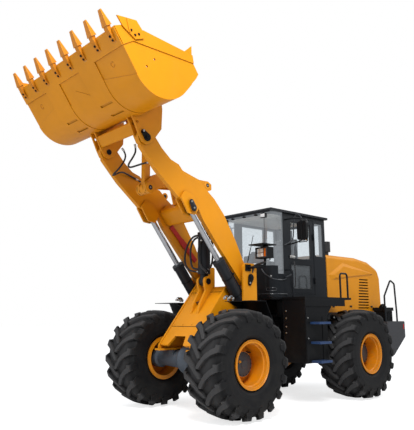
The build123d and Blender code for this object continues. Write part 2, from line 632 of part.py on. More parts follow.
def rocker_pin():
    """The pin in the boom's brackets that carries the rocker."""
    half = ROCKER_IN + ROCKER_THICK + 2 * SIDE_GAP + 40
    caps = both([bar_y(ROCKER_PIVOT, 75, half + 0.3, half + 12)])
    return bar_y(ROCKER_PIVOT, ROCKER_PIN, -half - 1, half + 1).fuse(*caps)


def link():
    """The bar from the rocker's front end up to the bucket, with the pin core in its upper eye."""
    half = CENTRE_EYE / 2
    lx, lz = ROCKER_FRONT
    kx, kz = LINK_TOP
    bar = slab([(lx - 55, lz), (lx + 55, lz), (kx + 55, kz), (kx - 55, kz)], -half, half)
    body = bar.fuse(bar_y(ROCKER_FRONT, 92, -half, half), bar_y(LINK_TOP, 85, -half, half))
    body = body - bar_y(ROCKER_FRONT, LINK_PIN + PIN_FIT, -100, 100)
    return body + bar_y(LINK_TOP, 50, -half - 5, half + 5)


def link_pin():
    """The pin in the rocker's front end that carries the link, with a cap outside each plate."""
    half = ROCKER_IN + ROCKER_THICK
    caps = both([bar_y(ROCKER_FRONT, LINK_CAP, half + 0.3, half + 28)])
    return bar_y(ROCKER_FRONT, LINK_PIN, -half - 1, half + 1).fuse(*caps)


# ---------------------------------------------------------------- cylinders
def barrel(base, eye, y, radius, length, neck_end, eye_radius, eye_width, pin, rod):
    """A cylinder barrel from its base eye and neck toward its rod, open at the rod's end."""
    start = toward(base, eye, neck_end)
    end = toward(base, eye, length)
    collar = toward(base, eye, length - 70)
    tube = rod_between(at_y(start, y), at_y(end, y), radius)
    tube = tube + rod_between(at_y(collar, y), at_y(end, y), radius + 10)
    bore_start = toward(base, eye, neck_end + 30)
    past = toward(base, eye, length + 10)
    neck = rod_between(at_y(base, y), at_y(start, y), eye_radius - 5)
    neck = neck & bar_y(base, neck_end + 50, y - eye_width / 2, y + eye_width / 2)
    tube = tube + neck + bar_y(base, eye_radius, y - eye_width / 2, y + eye_width / 2)
    tube = tube - rod_between(at_y(bore_start, y), at_y(past, y), rod + PIN_FIT)
    return tube - bar_y(base, pin + PIN_FIT, y - 200, y + 200)


def rod(base, eye, y, radius, length, eye_radius, eye_width):
    """A cylinder rod whose eye holds the core of its pin."""
    start = toward(eye, base, length)
    bar = rod_between(at_y(start, y), at_y(eye, y), radius)
    return bar + bar_y(eye, eye_radius, y - eye_width / 2, y + eye_width / 2)


def lift_pins():
    """The pins in the frame that hold the lift cylinders' base eyes."""
    return both([bar_y(LIFT_BASE, CYLINDER_PIN, FRAME_WALL_IN + PLATE, TOWER_WALL_IN)])


def tilt_pin():
    """The pin in the nose's lugs that carries the tilt cylinder."""
    half = TILT_LUG_IN + TILT_LUG_THICK
    pin = bar_y(TILT_BASE, CYLINDER_PIN, -half - 1, half + 1)
    return pin.fuse(*both([bar_y(TILT_BASE, 52, half + 0.3, half + 10)]))


def steer_points(side):
    """Base and rod eye of one steering cylinder in plan, side 1 for the left."""
    return (STEER_BASE[0], side * STEER_BASE[1]), (STEER_EYE[0], side * STEER_EYE[1])


def steer_barrel(side):
    """One steering cylinder's barrel, its base eye on the rear frame."""
    base, eye = steer_points(side)

    def at(distance):
        x, y = toward(base, eye, distance)
        return (x, y, STEER_Z)

    tube = rod_between(at(110), at(STEER_BARREL_LENGTH), STEER_BARREL)
    tube = tube + rod_between(at(0), at(115), EYE_WIDTH / 2 - 1)
    tube = tube + post(*base, STEER_Z - EYE_WIDTH / 2, STEER_Z + EYE_WIDTH / 2, 55)
    tube = tube - rod_between(at(140), at(STEER_BARREL_LENGTH + 5), STEER_ROD + PIN_FIT)
    return tube - post(*base, STEER_Z - 100, STEER_Z + 100, 30 + PIN_FIT)


def steer_rod(side):
    """One steering cylinder's rod, its eye between the front frame's lugs."""
    base, eye = steer_points(side)
    start_x, start_y = toward(eye, base, STEER_ROD_LENGTH)
    bar = rod_between((start_x, start_y, STEER_Z), (eye[0], eye[1], STEER_Z), STEER_ROD)
    return bar + post(*eye, STEER_Z - EYE_WIDTH / 2, STEER_Z + EYE_WIDTH / 2, 50)


# ---------------------------------------------------------------- rear frame
def rear_frame():
    """The rear half of the hinge, the centre box, the chassis rails and the axle's seats."""
    front = -330
    box_rear = -940
    pieces = both([block(box_rear, front, 195, 230, 720, 1520), block(-3300, box_rear, 330, 370, 1080, 1420),
                   block(REAR_X - 160, REAR_X + 160, 330, 370, PAD_TOP_Z, 1080)])
    pieces += [block(front - 30, front, -230, 230, 720, 1520) - block(front - 31, front + 1, -150, 150, 860,
                                                                      1360),
               block(box_rear - 20, box_rear, -500, 500, 850, 1520) - block(box_rear - 21, box_rear + 1,
                                                                            -150, 150, 860, 1100),
               block(-3300, -3270, -370, 370, 1080, 1420),
               block(-2300, -2270, -370, 370, 1080, 1420),
               block(box_rear, front, -230, 230, 1495, 1520)]
    for z in (HINGE_TOP_Z, HINGE_LOW_Z):
        pieces.append(hinge_plate(front - 10, 100, 280, z - TONGUE_THICK / 2, z + TONGUE_THICK / 2,
                                  HINGE_PIN + PIN_FIT))
    x, y = STEER_BASE
    for z0 in (STEER_Z + EYE_WIDTH / 2 + SIDE_GAP, STEER_Z - EYE_WIDTH / 2 - SIDE_GAP - 25):
        pieces += both([block(box_rear - 5, x + 60, y - 65, y + 65, z0, z0 + 25)])
    low = STEER_Z - EYE_WIDTH / 2 - SIDE_GAP - 25
    high = STEER_Z + EYE_WIDTH / 2 + SIDE_GAP + 25
    pieces += both([post(x, y, low, high, 30)])
    return pieces[0].fuse(*pieces[1:])


def engine_block():
    """The engine and radiator pack as one plain mass under the hood."""
    return block(-3000, -1750, -345, 345, 1420, 2250)


def counterweight():
    """The cast block behind the rear wheels."""
    outline = [(-2870, WEIGHT_TOP), (WEIGHT_REAR, WEIGHT_TOP), (WEIGHT_REAR, 1040), (-3080, 670),
               (-2870, 670)]
    weight = slab(outline, -WEIGHT_HALF, WEIGHT_HALF, 30)
    slot = block(-3300, -2860, -370, 370, 1080, 1420)
    hitch = block(TOW_X - 70, TOW_X + 70, -90, 90, 1190, 1300)
    return weight - slot - hitch - post(TOW_X, 0, TOW_Z0, TOW_Z1 + 1, TOW_RADIUS)


def hood():
    """The engine hood: a thin crowned shell with louvred sides and a raised crease, open at the back."""
    foot = 1560
    outline = [(HOOD_FRONT, foot), (HOOD_FRONT, HOOD_TOP), (-2500, HOOD_TOP), (HOOD_REAR + 420,
                                                                               HOOD_TOP - 60),
               (HOOD_REAR + 130, HOOD_TOP - 180), (HOOD_REAR + 20, HOOD_TOP - 420), (HOOD_REAR, foot)]
    face = make_face(Polyline(*outline, close=True))
    solid = slab_of(face, -HOOD_HALF, HOOD_HALF)
    top_edges = [edge for edge in solid.edges().filter_by(lambda e: abs(e.center().Y) > HOOD_HALF - 1)
                 if edge.center().Z > HOOD_TOP - 200 and edge.length > 200]
    solid = fillet(top_edges, 90)
    wall = HOOD_HALF - HOOD_WALL
    cavity = slab_of(offset(face, -HOOD_WALL), -wall, wall)
    solid = solid - cavity - block(HOOD_REAR + 40, HOOD_FRONT - HOOD_WALL, -wall, wall, foot - 60, foot + 90)
    back = block(HOOD_REAR - 1, HOOD_REAR + 60, -GRILLE_HALF - 7, GRILLE_HALF + 7, GRILLE_Z0 - 7,
                 GRILLE_Z1 + 7)
    crease = loft([Plane.XZ.offset(-HOOD_HALF) * make_face(Polyline(*CREASE, close=True)),
                   Plane.XZ.offset(-HOOD_HALF - 22) * make_face(Polyline(*CREASE_TOP, close=True))])
    slots = []
    for row in range(11):
        z = 1640 + row * 60
        slots += both([block(-2920, -2490 - row * 8, HOOD_HALF - 40, HOOD_HALF + 1, z, z + 26)])
    hinges = [half[0] for half in grille_hinges()]
    return (solid - back).cut(*slots).fuse(*both([crease]), *hinges)


def grille_hinges():
    """The two hinges at the grille's left edge."""
    x, y = GRILLE_HINGE
    hood_leaf = (x, HOOD_REAR + 5, y - 4, y + 18)
    grille_leaf = (x - 4, HOOD_REAR - 5, GRILLE_HALF - 18, y - 1)
    return [hinge_halves(GRILLE_HINGE, z, hood_leaf, grille_leaf) for z in (1750, 2060)]


def rear_grille():
    """The hinged grille that closes the hood's back."""
    frame = block(HOOD_REAR - 8, HOOD_REAR + 18, -GRILLE_HALF, GRILLE_HALF, GRILLE_Z0, GRILLE_Z1)
    half = GRILLE_HALF - 53
    rows = [block(HOOD_REAR - 20, HOOD_REAR + 30, -half, half, z, z + 30) for z in range(GRILLE_Z0 + 53,
                                                                                         GRILLE_Z1 - 60, 62)]
    return frame.cut(*rows).fuse(*[half[1] for half in grille_hinges()])


# ---------------------------------------------------------------- cab
def cab_plan(inset):
    """The cab's plan outline with rounded front corners, inset by a distance."""
    face = make_face(Polyline((CAB_REAR, -CAB_HALF), (CAB_FRONT, -CAB_HALF), (CAB_FRONT, CAB_HALF),
                              (CAB_REAR, CAB_HALF), close=True))
    front = [v for v in face.vertices() if v.X > 0]
    face = fillet(front, CAB_CORNER)
    return offset(face, -inset) if inset else face


def cab_shell():
    """The cab's floor, and its lower panels, posts and rear wall with every window and the door cut."""
    outer = extrude(Pos(0, 0, CAB_FLOOR) * cab_plan(0), amount=CAB_TOP - CAB_FLOOR)
    inner = extrude(Pos(0, 0, CAB_FLOOR - 1) * cab_plan(CAB_WALL), amount=CAB_TOP)
    floor = extrude(Pos(0, 0, CAB_FLOOR + 0.3) * cab_plan(CAB_WALL + 0.5), amount=CAB_FLOOR_THICK - 0.3)
    walls = outer - inner
    far = CAB_HALF + 10
    openings = [block(-45, CAB_FRONT + 10, -far, far, 2400, CAB_TOP + 1),
                block(-45, 130, -far, far, 2255, 2500),
                block(-1270, -1005, -far, far, 2640, 3300),
                block(CAB_REAR - 10, CAB_REAR + 60, -520, 520, 2640, 3300),
                block(DOOR_REAR, DOOR_FRONT, CAB_HALF - 60, far, 1900, 3340),
                block(DOOR_REAR + 60, DOOR_FRONT - 60, -far, -CAB_HALF + 60, 2500, 3300)]
    return [walls.cut(*openings).fuse(*[half[0] for half in door_hinges()]), floor]


def door_hinges():
    """The two hinges at the door's rear edge."""
    return [hinge_halves(DOOR_HINGE, z, (-985, -966, CAB_HALF - 5, 655), (-960, -940, CAB_HALF - 10, 655))
            for z in (2100, 2950)]


def cab_glass():
    """The wrap-round windscreen, the quarter windows, and the right and rear windows."""
    ring = cab_plan(12) - cab_plan(12 + GLASS)
    screen = extrude(Pos(0, 0, 2400) * ring, amount=CAB_TOP - 2400) & block(-45, CAB_FRONT, -700, 700, 2400,
                                                                            CAB_TOP)
    corner_x = CAB_FRONT - CAB_CORNER
    quarter = extrude(Pos(0, 0, 2255) * ring, amount=145) & block(-45, corner_x, -700, 700, 2255, 2400)
    seam = CAB_HALF - CAB_CORNER - 6
    middle = screen & block(0, CAB_FRONT, -seam, seam, 2400, CAB_TOP)
    corner = screen & block(corner_x, CAB_FRONT, seam + 4, CAB_HALF, 2400, CAB_TOP)
    side = (screen + quarter) & block(-45, corner_x - 4, seam + 4, CAB_HALF, 2255, CAB_TOP)
    rear_side = block(-1270, -1005, CAB_HALF - 18, CAB_HALF - 12, 2640, 3300)
    right = block(DOOR_REAR + 60, DOOR_FRONT - 60, -CAB_HALF + 12, -CAB_HALF + 18, 2500, 3300)
    rear = block(CAB_REAR + 12, CAB_REAR + 18, -520, 520, 2640, 3300)
    return [middle] + both([corner, side, rear_side]) + [right, rear]


def cab_roof():
    """The overhanging roof plate with its rim."""
    front, rear = CAB_FRONT + ROOF_OVERHANG, CAB_REAR - ROOF_OVERHANG
    side = CAB_HALF + ROOF_OVERHANG
    roof = block(rear, front, -side, side, CAB_TOP, CAB_TOP + 42)
    roof = roof + block(rear + 60, front - 160, 120 - side, side - 120, CAB_TOP + 42, CAB_TOP + 72)
    visor = slab([(front - 4, CAB_TOP + 38), (front + 34, CAB_TOP + 10), (front + 34, CAB_TOP - 42),
                  (front - 4, CAB_TOP - 6)],
                 -side, side, 3)
    return roof.fuse(visor) - block(CAB_REAR + 60, CAB_FRONT - 60, -570, 570, CAB_TOP - 1, CAB_TOP + 30)


def cab_door():
    """The left door's frame."""
    door = block(DOOR_REAR + 5, DOOR_FRONT - 8, CAB_HALF - 45, CAB_HALF - 5, 1905, 3335)
    window = block(DOOR_REAR + 90, DOOR_FRONT - 90, CAB_HALF - 50, CAB_HALF + 1, 2560, 3250)
    lower = block(DOOR_REAR + 90, DOOR_FRONT - 90, CAB_HALF - 50, CAB_HALF + 1, 2000, 2440)
    return (door - window - lower).fuse(*[half[1] for half in door_hinges()])


def door_glass():
    """The door's upper and lower panes."""
    return [block(DOOR_REAR + 90, DOOR_FRONT - 90, CAB_HALF - 28, CAB_HALF - 22, 2560, 3250),
            block(DOOR_REAR + 90, DOOR_FRONT - 90, CAB_HALF - 28, CAB_HALF - 22, 2000, 2440)]


def cab_interior():
    """The operator's seat on its base, the steering column and its wheel."""
    seat = block(-900, -450, -250, 250, 2270, 2400) + block(-960, -850, -250, 250, 2380, 3000)
    floor_z = CAB_FLOOR + CAB_FLOOR_THICK
    base = block(-850, -500, -180, 180, floor_z, 2270)
    column = rod_between((60, 0, floor_z + 40), (-110, 0, 2618), 45) + block(0, 130, -90, 90, floor_z, 2050)
    wheel = Pos(-110, 0, 2620) * Rot(0, -18, 0) * Torus(190, 16)
    spoke = Pos(-110, 0, 2620) * Rot(0, -18, 0) * Box(380, 40, 16)
    return [seat + base, column + wheel + spoke]


# ---------------------------------------------------------------- platform and trim on the rear frame
def platform():
    """The deck under the cab and beside the hood."""
    deck = block(HOOD_FRONT, DECK_FRONT, -CAB_HALF, CAB_HALF, CAB_FLOOR - 40, CAB_FLOOR)
    return deck.fuse(*both([block(HOOD_FRONT, 40, CAB_HALF, DECK_HALF, CAB_FLOOR - 40, CAB_FLOOR)]))


def deck_skirts():
    """The skirts that hang from the deck's outer edges, with the flared plate down to each tank's side."""
    skirt = block(-1180, 40, DECK_HALF - 20, DECK_HALF, 1670, CAB_FLOOR - 40)
    return both([skirt])


def deck_legs():
    """The posts that carry the deck on the rear frame."""
    return both([block(-900, -350, 180, 225, 1520, CAB_FLOOR - 40)])


def side_tanks():
    """The fuel and oil tanks between the wheels, hollow, under the deck."""
    roof = CAB_FLOOR - 40
    out = DECK_HALF - 20
    tank = slab([(30, roof), (30, 690), (-620, 690), (-620, 1500), (-880, roof)], CAB_HALF, out)
    tank = tank - slab([(10, roof - 20), (10, 710), (-600, 710), (-600, 1507), (-836, roof - 20)],
                       CAB_HALF - 1, out - 20)
    panel = block(-90, 18, out, out + 8, 720, 1640) + block(-600, -460, out, out + 8, 720, 1480)
    return both([tank + panel])


def steps():
    """Three steps outside the left and right tanks, each a tray on two brackets."""
    y0, y1 = DECK_HALF - 20, DECK_HALF + STEP_REACH
    trays = []
    for z in (720, 1040, 1377):
        tray = block(-440, -110, y0, y1, z - 22, z + 18) - block(-428, -122, y0 + 12, y1 - 12, z - 10, z + 19)
        bars = [block(-440, -110, y, y + 14, z - 10, z + 18) for y in (y0 + 55, y0 + 105, y0 + 155)]
        trays.append(tray.fuse(*bars))
    return both(trays)


def handrails():
    """Grab rails at the door and on the rear deck, and the guard rails on the counterweight."""
    door_rail = tube_along([(-80, CAB_HALF, 2330), (-80, 800, 2330), (-80, 800, CAB_FLOOR)], 15, 60)
    y = DECK_HALF - 50
    deck_rail = tube_along([(-1130, y, CAB_FLOOR), (-1130, y, 2290), (-1370, y, 2290),
                            (-1370, y, CAB_FLOOR)], 18, 60)
    y = WEIGHT_HALF - 50
    guard = tube_along([(-2900, y, WEIGHT_TOP), (-2900, y, 1900), (-3180, y, 2240), (-3340, y, 2170),
                        (-3376, y, 1560), (-3376, y, WEIGHT_TOP)], 18, 50)
    return both([door_rail, deck_rail, guard])


def rear_boxes():
    """Battery boxes with ribbed fronts on the counterweight."""
    box = block(-3260, -2960, 700, 960, WEIGHT_TOP, 1590) + block(-3285, -2935, 680, 980, 1590, 1660)
    ribs = [block(-3240 + n * 56, -3224 + n * 56, 960, 968, 1400, 1570) for n in range(5)]
    return both([box.fuse(*ribs)])


def battery_domes():
    """The domed caps on the battery boxes."""
    cap = Pos(-3110, 830, 1660) * Cylinder(78, 30, align=(Align.CENTER, Align.CENTER, Align.MIN))
    dome = (Pos(-3110, 830, 1675) * Sphere(66)) & block(-3300, -2900, 700, 960, 1675, 1800)
    return both([cap + dome])


def rear_lamps():
    """Red lamps on the counterweight's outer rear corners."""
    x = WEIGHT_REAR
    return both([block(x - 12, x, WEIGHT_HALF - 190, WEIGHT_HALF - 30, 1180, 1330)])


def mirrors():
    """Rear-view mirrors in housings on tube arms from the cab's front posts."""
    x, y, z = MIRROR
    arm = tube_along([(-100, CAB_HALF, z + 240), (-100, y - 200, z + 240), (x + 60, y, z + 215),
                      (x + 60, y, z - 190),
                      (-100, y - 220, z - 230), (-100, CAB_HALF, z - 230)], 12, 40)
    housing = Box(60, 210, 340)
    housing = Pos(x + 25, y, z) * fillet(housing.edges().filter_by(Axis.X), 45)
    rear_face = Pos(x - 5, y, z) * Box(8, 170, 300)
    return both([arm + housing - rear_face])


def precleaner():
    """The intake stack that stands on the hood behind the cab."""
    x, y = -1680, 420
    return post(x, y, HOOD_TOP, HOOD_TOP + 80, 55) + post(x, y, HOOD_TOP + 80, HOOD_TOP + 290, 95)


# ---------------------------------------------------------------- every node
def main():
    """Builds and writes every node."""
    one_tyre, one_rim = tyre(), rim()
    for name, x, side in (("front_left", FRONT_X, 1), ("front_right", FRONT_X, -1),
                          ("rear_left", REAR_X, 1), ("rear_right", REAR_X, -1)):
        place = Pos(x, side * WHEEL_Y, AXLE_Z)
        write(f"tyre_{name}", place * (one_tyre if side == 1 else mirror(one_tyre, Plane.XZ)))
        write(f"rim_{name}", place * (one_rim if side == 1 else mirror(one_rim, Plane.XZ)))
    write("front_axle", axle(FRONT_X, 60))
    write("rear_axle", axle(REAR_X, -60))

    write("front_frame", front_frame())
    pins, keepers = boom_pivot_pins()
    write("boom_pivot_pins", pins + lift_pins())
    write("boom_pivot_keepers", keepers)
    write("front_fenders", front_fenders())
    write("headlights", headlights())
    write("headlight_lenses", headlight_lenses())

    write("boom", boom())
    write("safety_strut", safety_strut())
    write("rocker_pin", rocker_pin())
    write("rocker", rocker())
    write("link_pin", link_pin())
    write("link", link())
    write("bucket_pins", bucket_pins())
    write("bucket", bucket())
    write("bucket_teeth", bucket_teeth())

    lift = dict(radius=LIFT_BARREL, length=LIFT_BARREL_LENGTH, neck_end=100, eye_radius=78, eye_width=200,
                pin=CYLINDER_PIN, rod=LIFT_ROD)
    write("lift_barrels", both([barrel(LIFT_BASE, LIFT_EYE, ARM_Y, **lift)]))
    write("lift_rods", both([rod(LIFT_BASE, LIFT_EYE, ARM_Y, LIFT_ROD, LIFT_ROD_LENGTH, 75, EYE_WIDTH)]))
    tilt = dict(radius=TILT_BARREL, length=TILT_BARREL_LENGTH, neck_end=130, eye_radius=75,
                eye_width=2 * TILT_LUG_IN - 10, pin=CYLINDER_PIN, rod=TILT_ROD)
    write("tilt_pin", tilt_pin())
    write("tilt_barrel", barrel(TILT_BASE, ROCKER_REAR, 0, **tilt))
    write("tilt_rod", rod(TILT_BASE, ROCKER_REAR, 0, TILT_ROD, TILT_ROD_LENGTH, 80, CENTRE_EYE))
    for side, name in ((1, "left"), (-1, "right")):
        write(f"steer_barrel_{name}", steer_barrel(side))
        write(f"steer_rod_{name}", steer_rod(side))

    write("rear_frame", rear_frame())
    write("engine_block", engine_block())
    write("counterweight", counterweight())
    write("hood", hood())
    write("rear_grille", rear_grille())
    write("precleaner", precleaner())
    write("cab_shell", cab_shell())
    write("cab_glass", cab_glass())
    write("cab_roof", cab_roof())
    write("cab_door", cab_door())
    write("door_glass", door_glass())
    write("cab_interior", cab_interior())
    write("platform", platform())
    write("deck_skirts", deck_skirts())
    write("deck_legs", deck_legs())
    write("side_tanks", side_tanks())
    write("steps", steps())
    write("handrails", handrails())
    write("rear_boxes", rear_boxes())
    write("battery_domes", battery_domes())
    write("rear_lamps", rear_lamps())
    write("mirrors", mirrors())


if __name__ == "__main__":
    main()
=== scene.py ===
# %% [markdown]
# # Articulated wheel loader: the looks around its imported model
# The machine stands parked with its bucket raised and tipped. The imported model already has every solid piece
# at its real size, so this notebook only gives finishes, lights and the small fittings that a step away
# shows: bolts, seals, hoses, lamps' insides and the seat. All lengths are metres, X points forward and Y to
# the left of the machine.

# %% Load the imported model
import json
import math

import bmesh
import bpy
from mathutils import Matrix, Vector


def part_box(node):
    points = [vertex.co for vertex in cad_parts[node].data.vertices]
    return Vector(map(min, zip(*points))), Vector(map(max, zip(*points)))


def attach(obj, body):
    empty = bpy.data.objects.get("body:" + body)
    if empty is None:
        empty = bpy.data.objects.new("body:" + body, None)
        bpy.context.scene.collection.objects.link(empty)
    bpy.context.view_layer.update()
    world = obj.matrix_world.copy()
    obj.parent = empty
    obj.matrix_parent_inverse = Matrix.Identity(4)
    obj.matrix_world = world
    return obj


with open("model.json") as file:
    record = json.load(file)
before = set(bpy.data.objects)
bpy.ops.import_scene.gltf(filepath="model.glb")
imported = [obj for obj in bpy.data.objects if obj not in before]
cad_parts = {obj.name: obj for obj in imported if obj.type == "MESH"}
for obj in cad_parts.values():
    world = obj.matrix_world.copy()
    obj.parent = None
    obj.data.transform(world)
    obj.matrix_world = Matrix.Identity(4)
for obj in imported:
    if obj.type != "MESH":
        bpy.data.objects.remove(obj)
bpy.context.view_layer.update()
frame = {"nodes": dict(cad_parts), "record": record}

nodes = frame["nodes"]
SIDES = (1, -1)

# %% [markdown]
# ## Where the camera stands
# The machine is looked at from its front left, a little above the wheel hubs, with the lens tilted up to take
# in the raised bucket. A camera could be aimed with a Track To constraint, but a direction and a small roll
# written as angles keep the view exact and easy to change.

# %% Place the camera
EYE = Vector((7.467, 7.086, 1.56))
YAW, PITCH, ROLL = math.radians(-132.85), math.radians(10.3), math.radians(-0.28)
LENS_MM = 46.0
data = bpy.data.cameras.new("view")
data.lens, data.sensor_width, data.clip_end = LENS_MM, 36.0, 200.0
camera = bpy.data.objects.new("view", data)
bpy.context.scene.collection.objects.link(camera)
ahead = Vector((math.cos(YAW) * math.cos(PITCH), math.sin(YAW) * math.cos(PITCH), math.sin(PITCH)))
turn = ahead.to_track_quat("-Z", "Y").to_matrix().to_4x4()
camera.matrix_world = Matrix.Translation(EYE) @ turn @ Matrix.Rotation(ROLL, 4, "Z")
bpy.context.scene.camera = camera
print("camera at", tuple(EYE), "lens", LENS_MM, "mm")

# %% [markdown]
# ## A small language for finishes
# A finish is a graph of nodes. Wiring it by hand is long, so one class makes any node from its type, its
# settings and its sockets' values, and another wraps a socket so that plain arithmetic adds the Math nodes.
# An expression such as `0.4 + 0.2 * mask` then reads as what it does.


# %% Sockets that take part in arithmetic
class Value:
    """A number that varies over a surface: a node's output that Python's operators work on."""

    def __init__(self, finish, socket):
        self.finish, self.socket = finish, socket

    def maths(self, operation, first, second):
        """A Math node on two values or numbers."""
        return self.finish.value("Math", {0: first, 1: second}, operation=operation)

    def __add__(self, other):
        return self.maths("ADD", self, other)

    def __sub__(self, other):
        return self.maths("SUBTRACT", self, other)

    def __rsub__(self, other):
        return self.maths("SUBTRACT", other, self)

    def __mul__(self, other):
        return self.maths("MULTIPLY", self, other)

    def __pow__(self, other):
        return self.maths("POWER", self, other)

    def __gt__(self, other):
        return self.maths("GREATER_THAN", self, other)

    __radd__ = __add__
    __rmul__ = __mul__

    def size(self):
        """The value without its sign."""
        return self.maths("ABSOLUTE", self, 0.0)

    def wave(self):
        """The sine of the value, for ribs, threads and grids."""
        return self.maths("SINE", self, 0.0)

    def clamp(self):
        """The value held between 0 and 1."""
        return self.between(0.0, 1.0)

    def between(self, low, high):
        """0 at low, 1 at high and straight between them, held at both ends."""
        return self.finish.value("MapRange", {"Value": self, "From Min": low, "From Max": high}, clamp=True)


# %% A finish, built node by node
class Finish:
    """A material, or the world, whose nodes are made by one method."""

    def __init__(self, name, kind="materials"):
        self.material = getattr(bpy.data, kind).new(name)
        self.material.use_nodes = True
        self.tree = self.material.node_tree
        self.tree.nodes.clear()

    def node(self, kind, sockets=None, **settings):
        """Any shader node: its settings first, then a value or a link for each named socket."""
        made = self.tree.nodes.new("ShaderNode" + kind)
        for key, value in settings.items():
            setattr(made, key, value)
        for key, value in (sockets or {}).items():
            socket = made.inputs[key]
            if isinstance(value, Value):
                self.tree.links.new(value.socket, socket)
            else:
                socket.default_value = (*value, 1.0) if socket.type == "RGBA" else value
        return made

    def value(self, kind, sockets=None, output=0, **settings):
        """One output of a new node, ready for arithmetic."""
        return Value(self, self.node(kind, sockets, **settings).outputs[output])

    def place(self, centre=(0, 0, 0), stretch=(1, 1, 1)):
        """Points on the piece in the machine's own frame, measured from a centre and stretched."""
        at = self.value("TexCoord", output="Object")
        shift = [-c * s for c, s in zip(centre, stretch)]
        return self.value("Mapping", {"Vector": at, "Location": shift, "Scale": stretch})

    def part(self, axis, centre=(0, 0, 0)):
        """One coordinate, 0, 1 or 2, of the points."""
        return self.value("SeparateXYZ", {0: self.place(centre)}, axis)

    def noise(self, scale, detail=4.0, rough=0.55, stretch=(1, 1, 1)):
        """Cloudy noise with so many cells to a metre, about 0.5 in the middle."""
        at = self.place(stretch=stretch)
        return self.value("TexNoise", {"Vector": at, "Scale": scale, "Detail": detail, "Roughness": rough})

    def mix(self, factor, first, second):
        """Two colours mixed by a factor."""
        return self.value("Mix", {0: factor, 6: first, 7: second}, 2, data_type="RGBA", blend_type="MIX",
                          clamp_factor=True)

    def edges(self, width):
        """1 along sharp outer edges and 0 on flat faces, from how a rounded edge would turn the normal."""
        rounded = self.value("Bevel", {"Radius": width}, samples=4)
        flat = self.value("NewGeometry", output="Normal")
        same = self.value("VectorMath", {0: rounded, 1: flat}, "Value", operation="DOT_PRODUCT")
        return (1.0 - same).between(0.02, 0.25)

    def crease_shade(self, reach):
        """Painted shade: 1 in tight inner corners and along the foot of a plate, 0 in the open."""
        open_share = self.value("AmbientOcclusion", {"Distance": reach}, "AO", samples=4, only_local=False)
        return 1.0 - open_share.between(0.25, 0.85)

    def bumps(self, height, depth, strength=1.0):
        """A normal bent by a height, in metres when depth is 1."""
        return self.value("Bump", {"Height": height, "Distance": depth, "Strength": strength})

    def shade(self, **sockets):
        """The surface's shader, with the sockets named by words joined with underscores."""
        named = {key.replace("_", " "): value for key, value in sockets.items()}
        return self.surface(self.node("BsdfPrincipled", named))

    def both(self, first, second, factor=None):
        """Two shaders added, or mixed when there is a factor: 0 shows the first."""
        made = self.node("AddShader") if factor is None else self.node("MixShader", {0: factor})
        free = [socket for socket in made.inputs if socket.type == "SHADER"]
        for shader, socket in zip((first, second), free):
            self.tree.links.new(shader.outputs[0], socket)
        return made

    def surface(self, shader, kind="OutputMaterial"):
        """Joins a shader to the output."""
        self.tree.links.new(shader.outputs[0], self.node(kind).inputs["Surface"])
        return self.material


def scaled(colour, share, more=0.0):
    """A colour made darker or lighter."""
    return tuple(c * share + more for c in colour)


print("finish classes ready")

# %% [markdown]
# ## Paint
# Sheet steel on such a machine is sprayed: the film has a faint orange-peel, the coat is thinner and rubbed
# on corners, and dust lies where it can. A flat colour would look like plastic, so the colour drifts a little
# over a metre, corners are rubbed lighter, a dusty haze grows towards the ground, and inner corners and the
# feet of plates are darkened as painted shade.


# %% Painted steel
def paint(name, colour, rubbed, rough=0.36, rub=0.5, dust=0.1, coat=0.05, shine=0.25):
    """Sprayed paint: drift in the colour, rubbed corners, dust near the ground and orange-peel, with painted
    shade darkening inner corners.
    """
    f = Finish(name)
    drift = f.noise(1.4, 3.0).between(0.3, 0.7)
    streaks = f.noise(3.0, 4.0, stretch=(1.6, 1.6, 0.35)).between(0.45, 0.8)
    worn = (f.edges(0.012) * f.noise(22.0, 5.0).between(0.42, 0.62) * rub).clamp()
    low = 1.0 - f.part(2).between(0.2, 1.6)
    dusty = (low * 0.8 + streaks * 0.35) * f.noise(9.0, 6.0).between(0.35, 0.7) * dust
    base = f.mix(drift, colour, scaled(colour, 0.88))
    base = f.mix(worn, base, rubbed)
    base = f.mix(dusty.clamp(), base, (0.33, 0.3, 0.26))
    # Painted shade: inner corners and the feet of plates are darkened towards a third of the colour.
    base = f.mix(f.crease_shade(0.07) * 0.75, base, scaled(colour, 0.3))
    peel = f.noise(340.0, 2.0)
    return f.shade(Base_Color=base, Roughness=(rough + 0.12 * drift + 0.9 * dusty + 0.15 * worn).clamp(),
                   Specular_IOR_Level=shine, Coat_Weight=coat, Coat_Roughness=0.15,
                   Normal=f.bumps(peel, 0.0005, 0.3))


YELLOW = (0.8, 0.3, 0.003)
RUBBED_YELLOW = (0.86, 0.42, 0.06)
finishes = {
    "body_yellow": paint("machine_yellow", YELLOW, RUBBED_YELLOW),
    "tooth_steel": paint("tooth_yellow", (0.72, 0.245, 0.005), (0.58, 0.34, 0.12), rub=0.9),
    "dark_steel": paint("black_paint", (0.006, 0.0065, 0.0075), (0.04, 0.04, 0.043), dust=0.03,
                        shine=0.12),
    "cylinder_grey": paint("cylinder_grey_paint", (0.017, 0.019, 0.023), (0.08, 0.08, 0.085), dust=0.05,
                           shine=0.2),
    "axle_grey": paint("axle_blue_grey", (0.085, 0.105, 0.132), (0.18, 0.19, 0.21), rough=0.42),
    "step_blue": paint("step_blue_paint", (0.022, 0.055, 0.15), (0.12, 0.14, 0.18), rub=0.9),
    "cab_paint": paint("cab_charcoal", (0.011, 0.013, 0.016), (0.05, 0.053, 0.056), rough=0.27, dust=0.02,
                      coat=0.1, shine=0.14),
    "strut_red": paint("strut_red_paint", (0.55, 0.022, 0.012), (0.6, 0.12, 0.06)),
}
print("paints:", len(finishes))
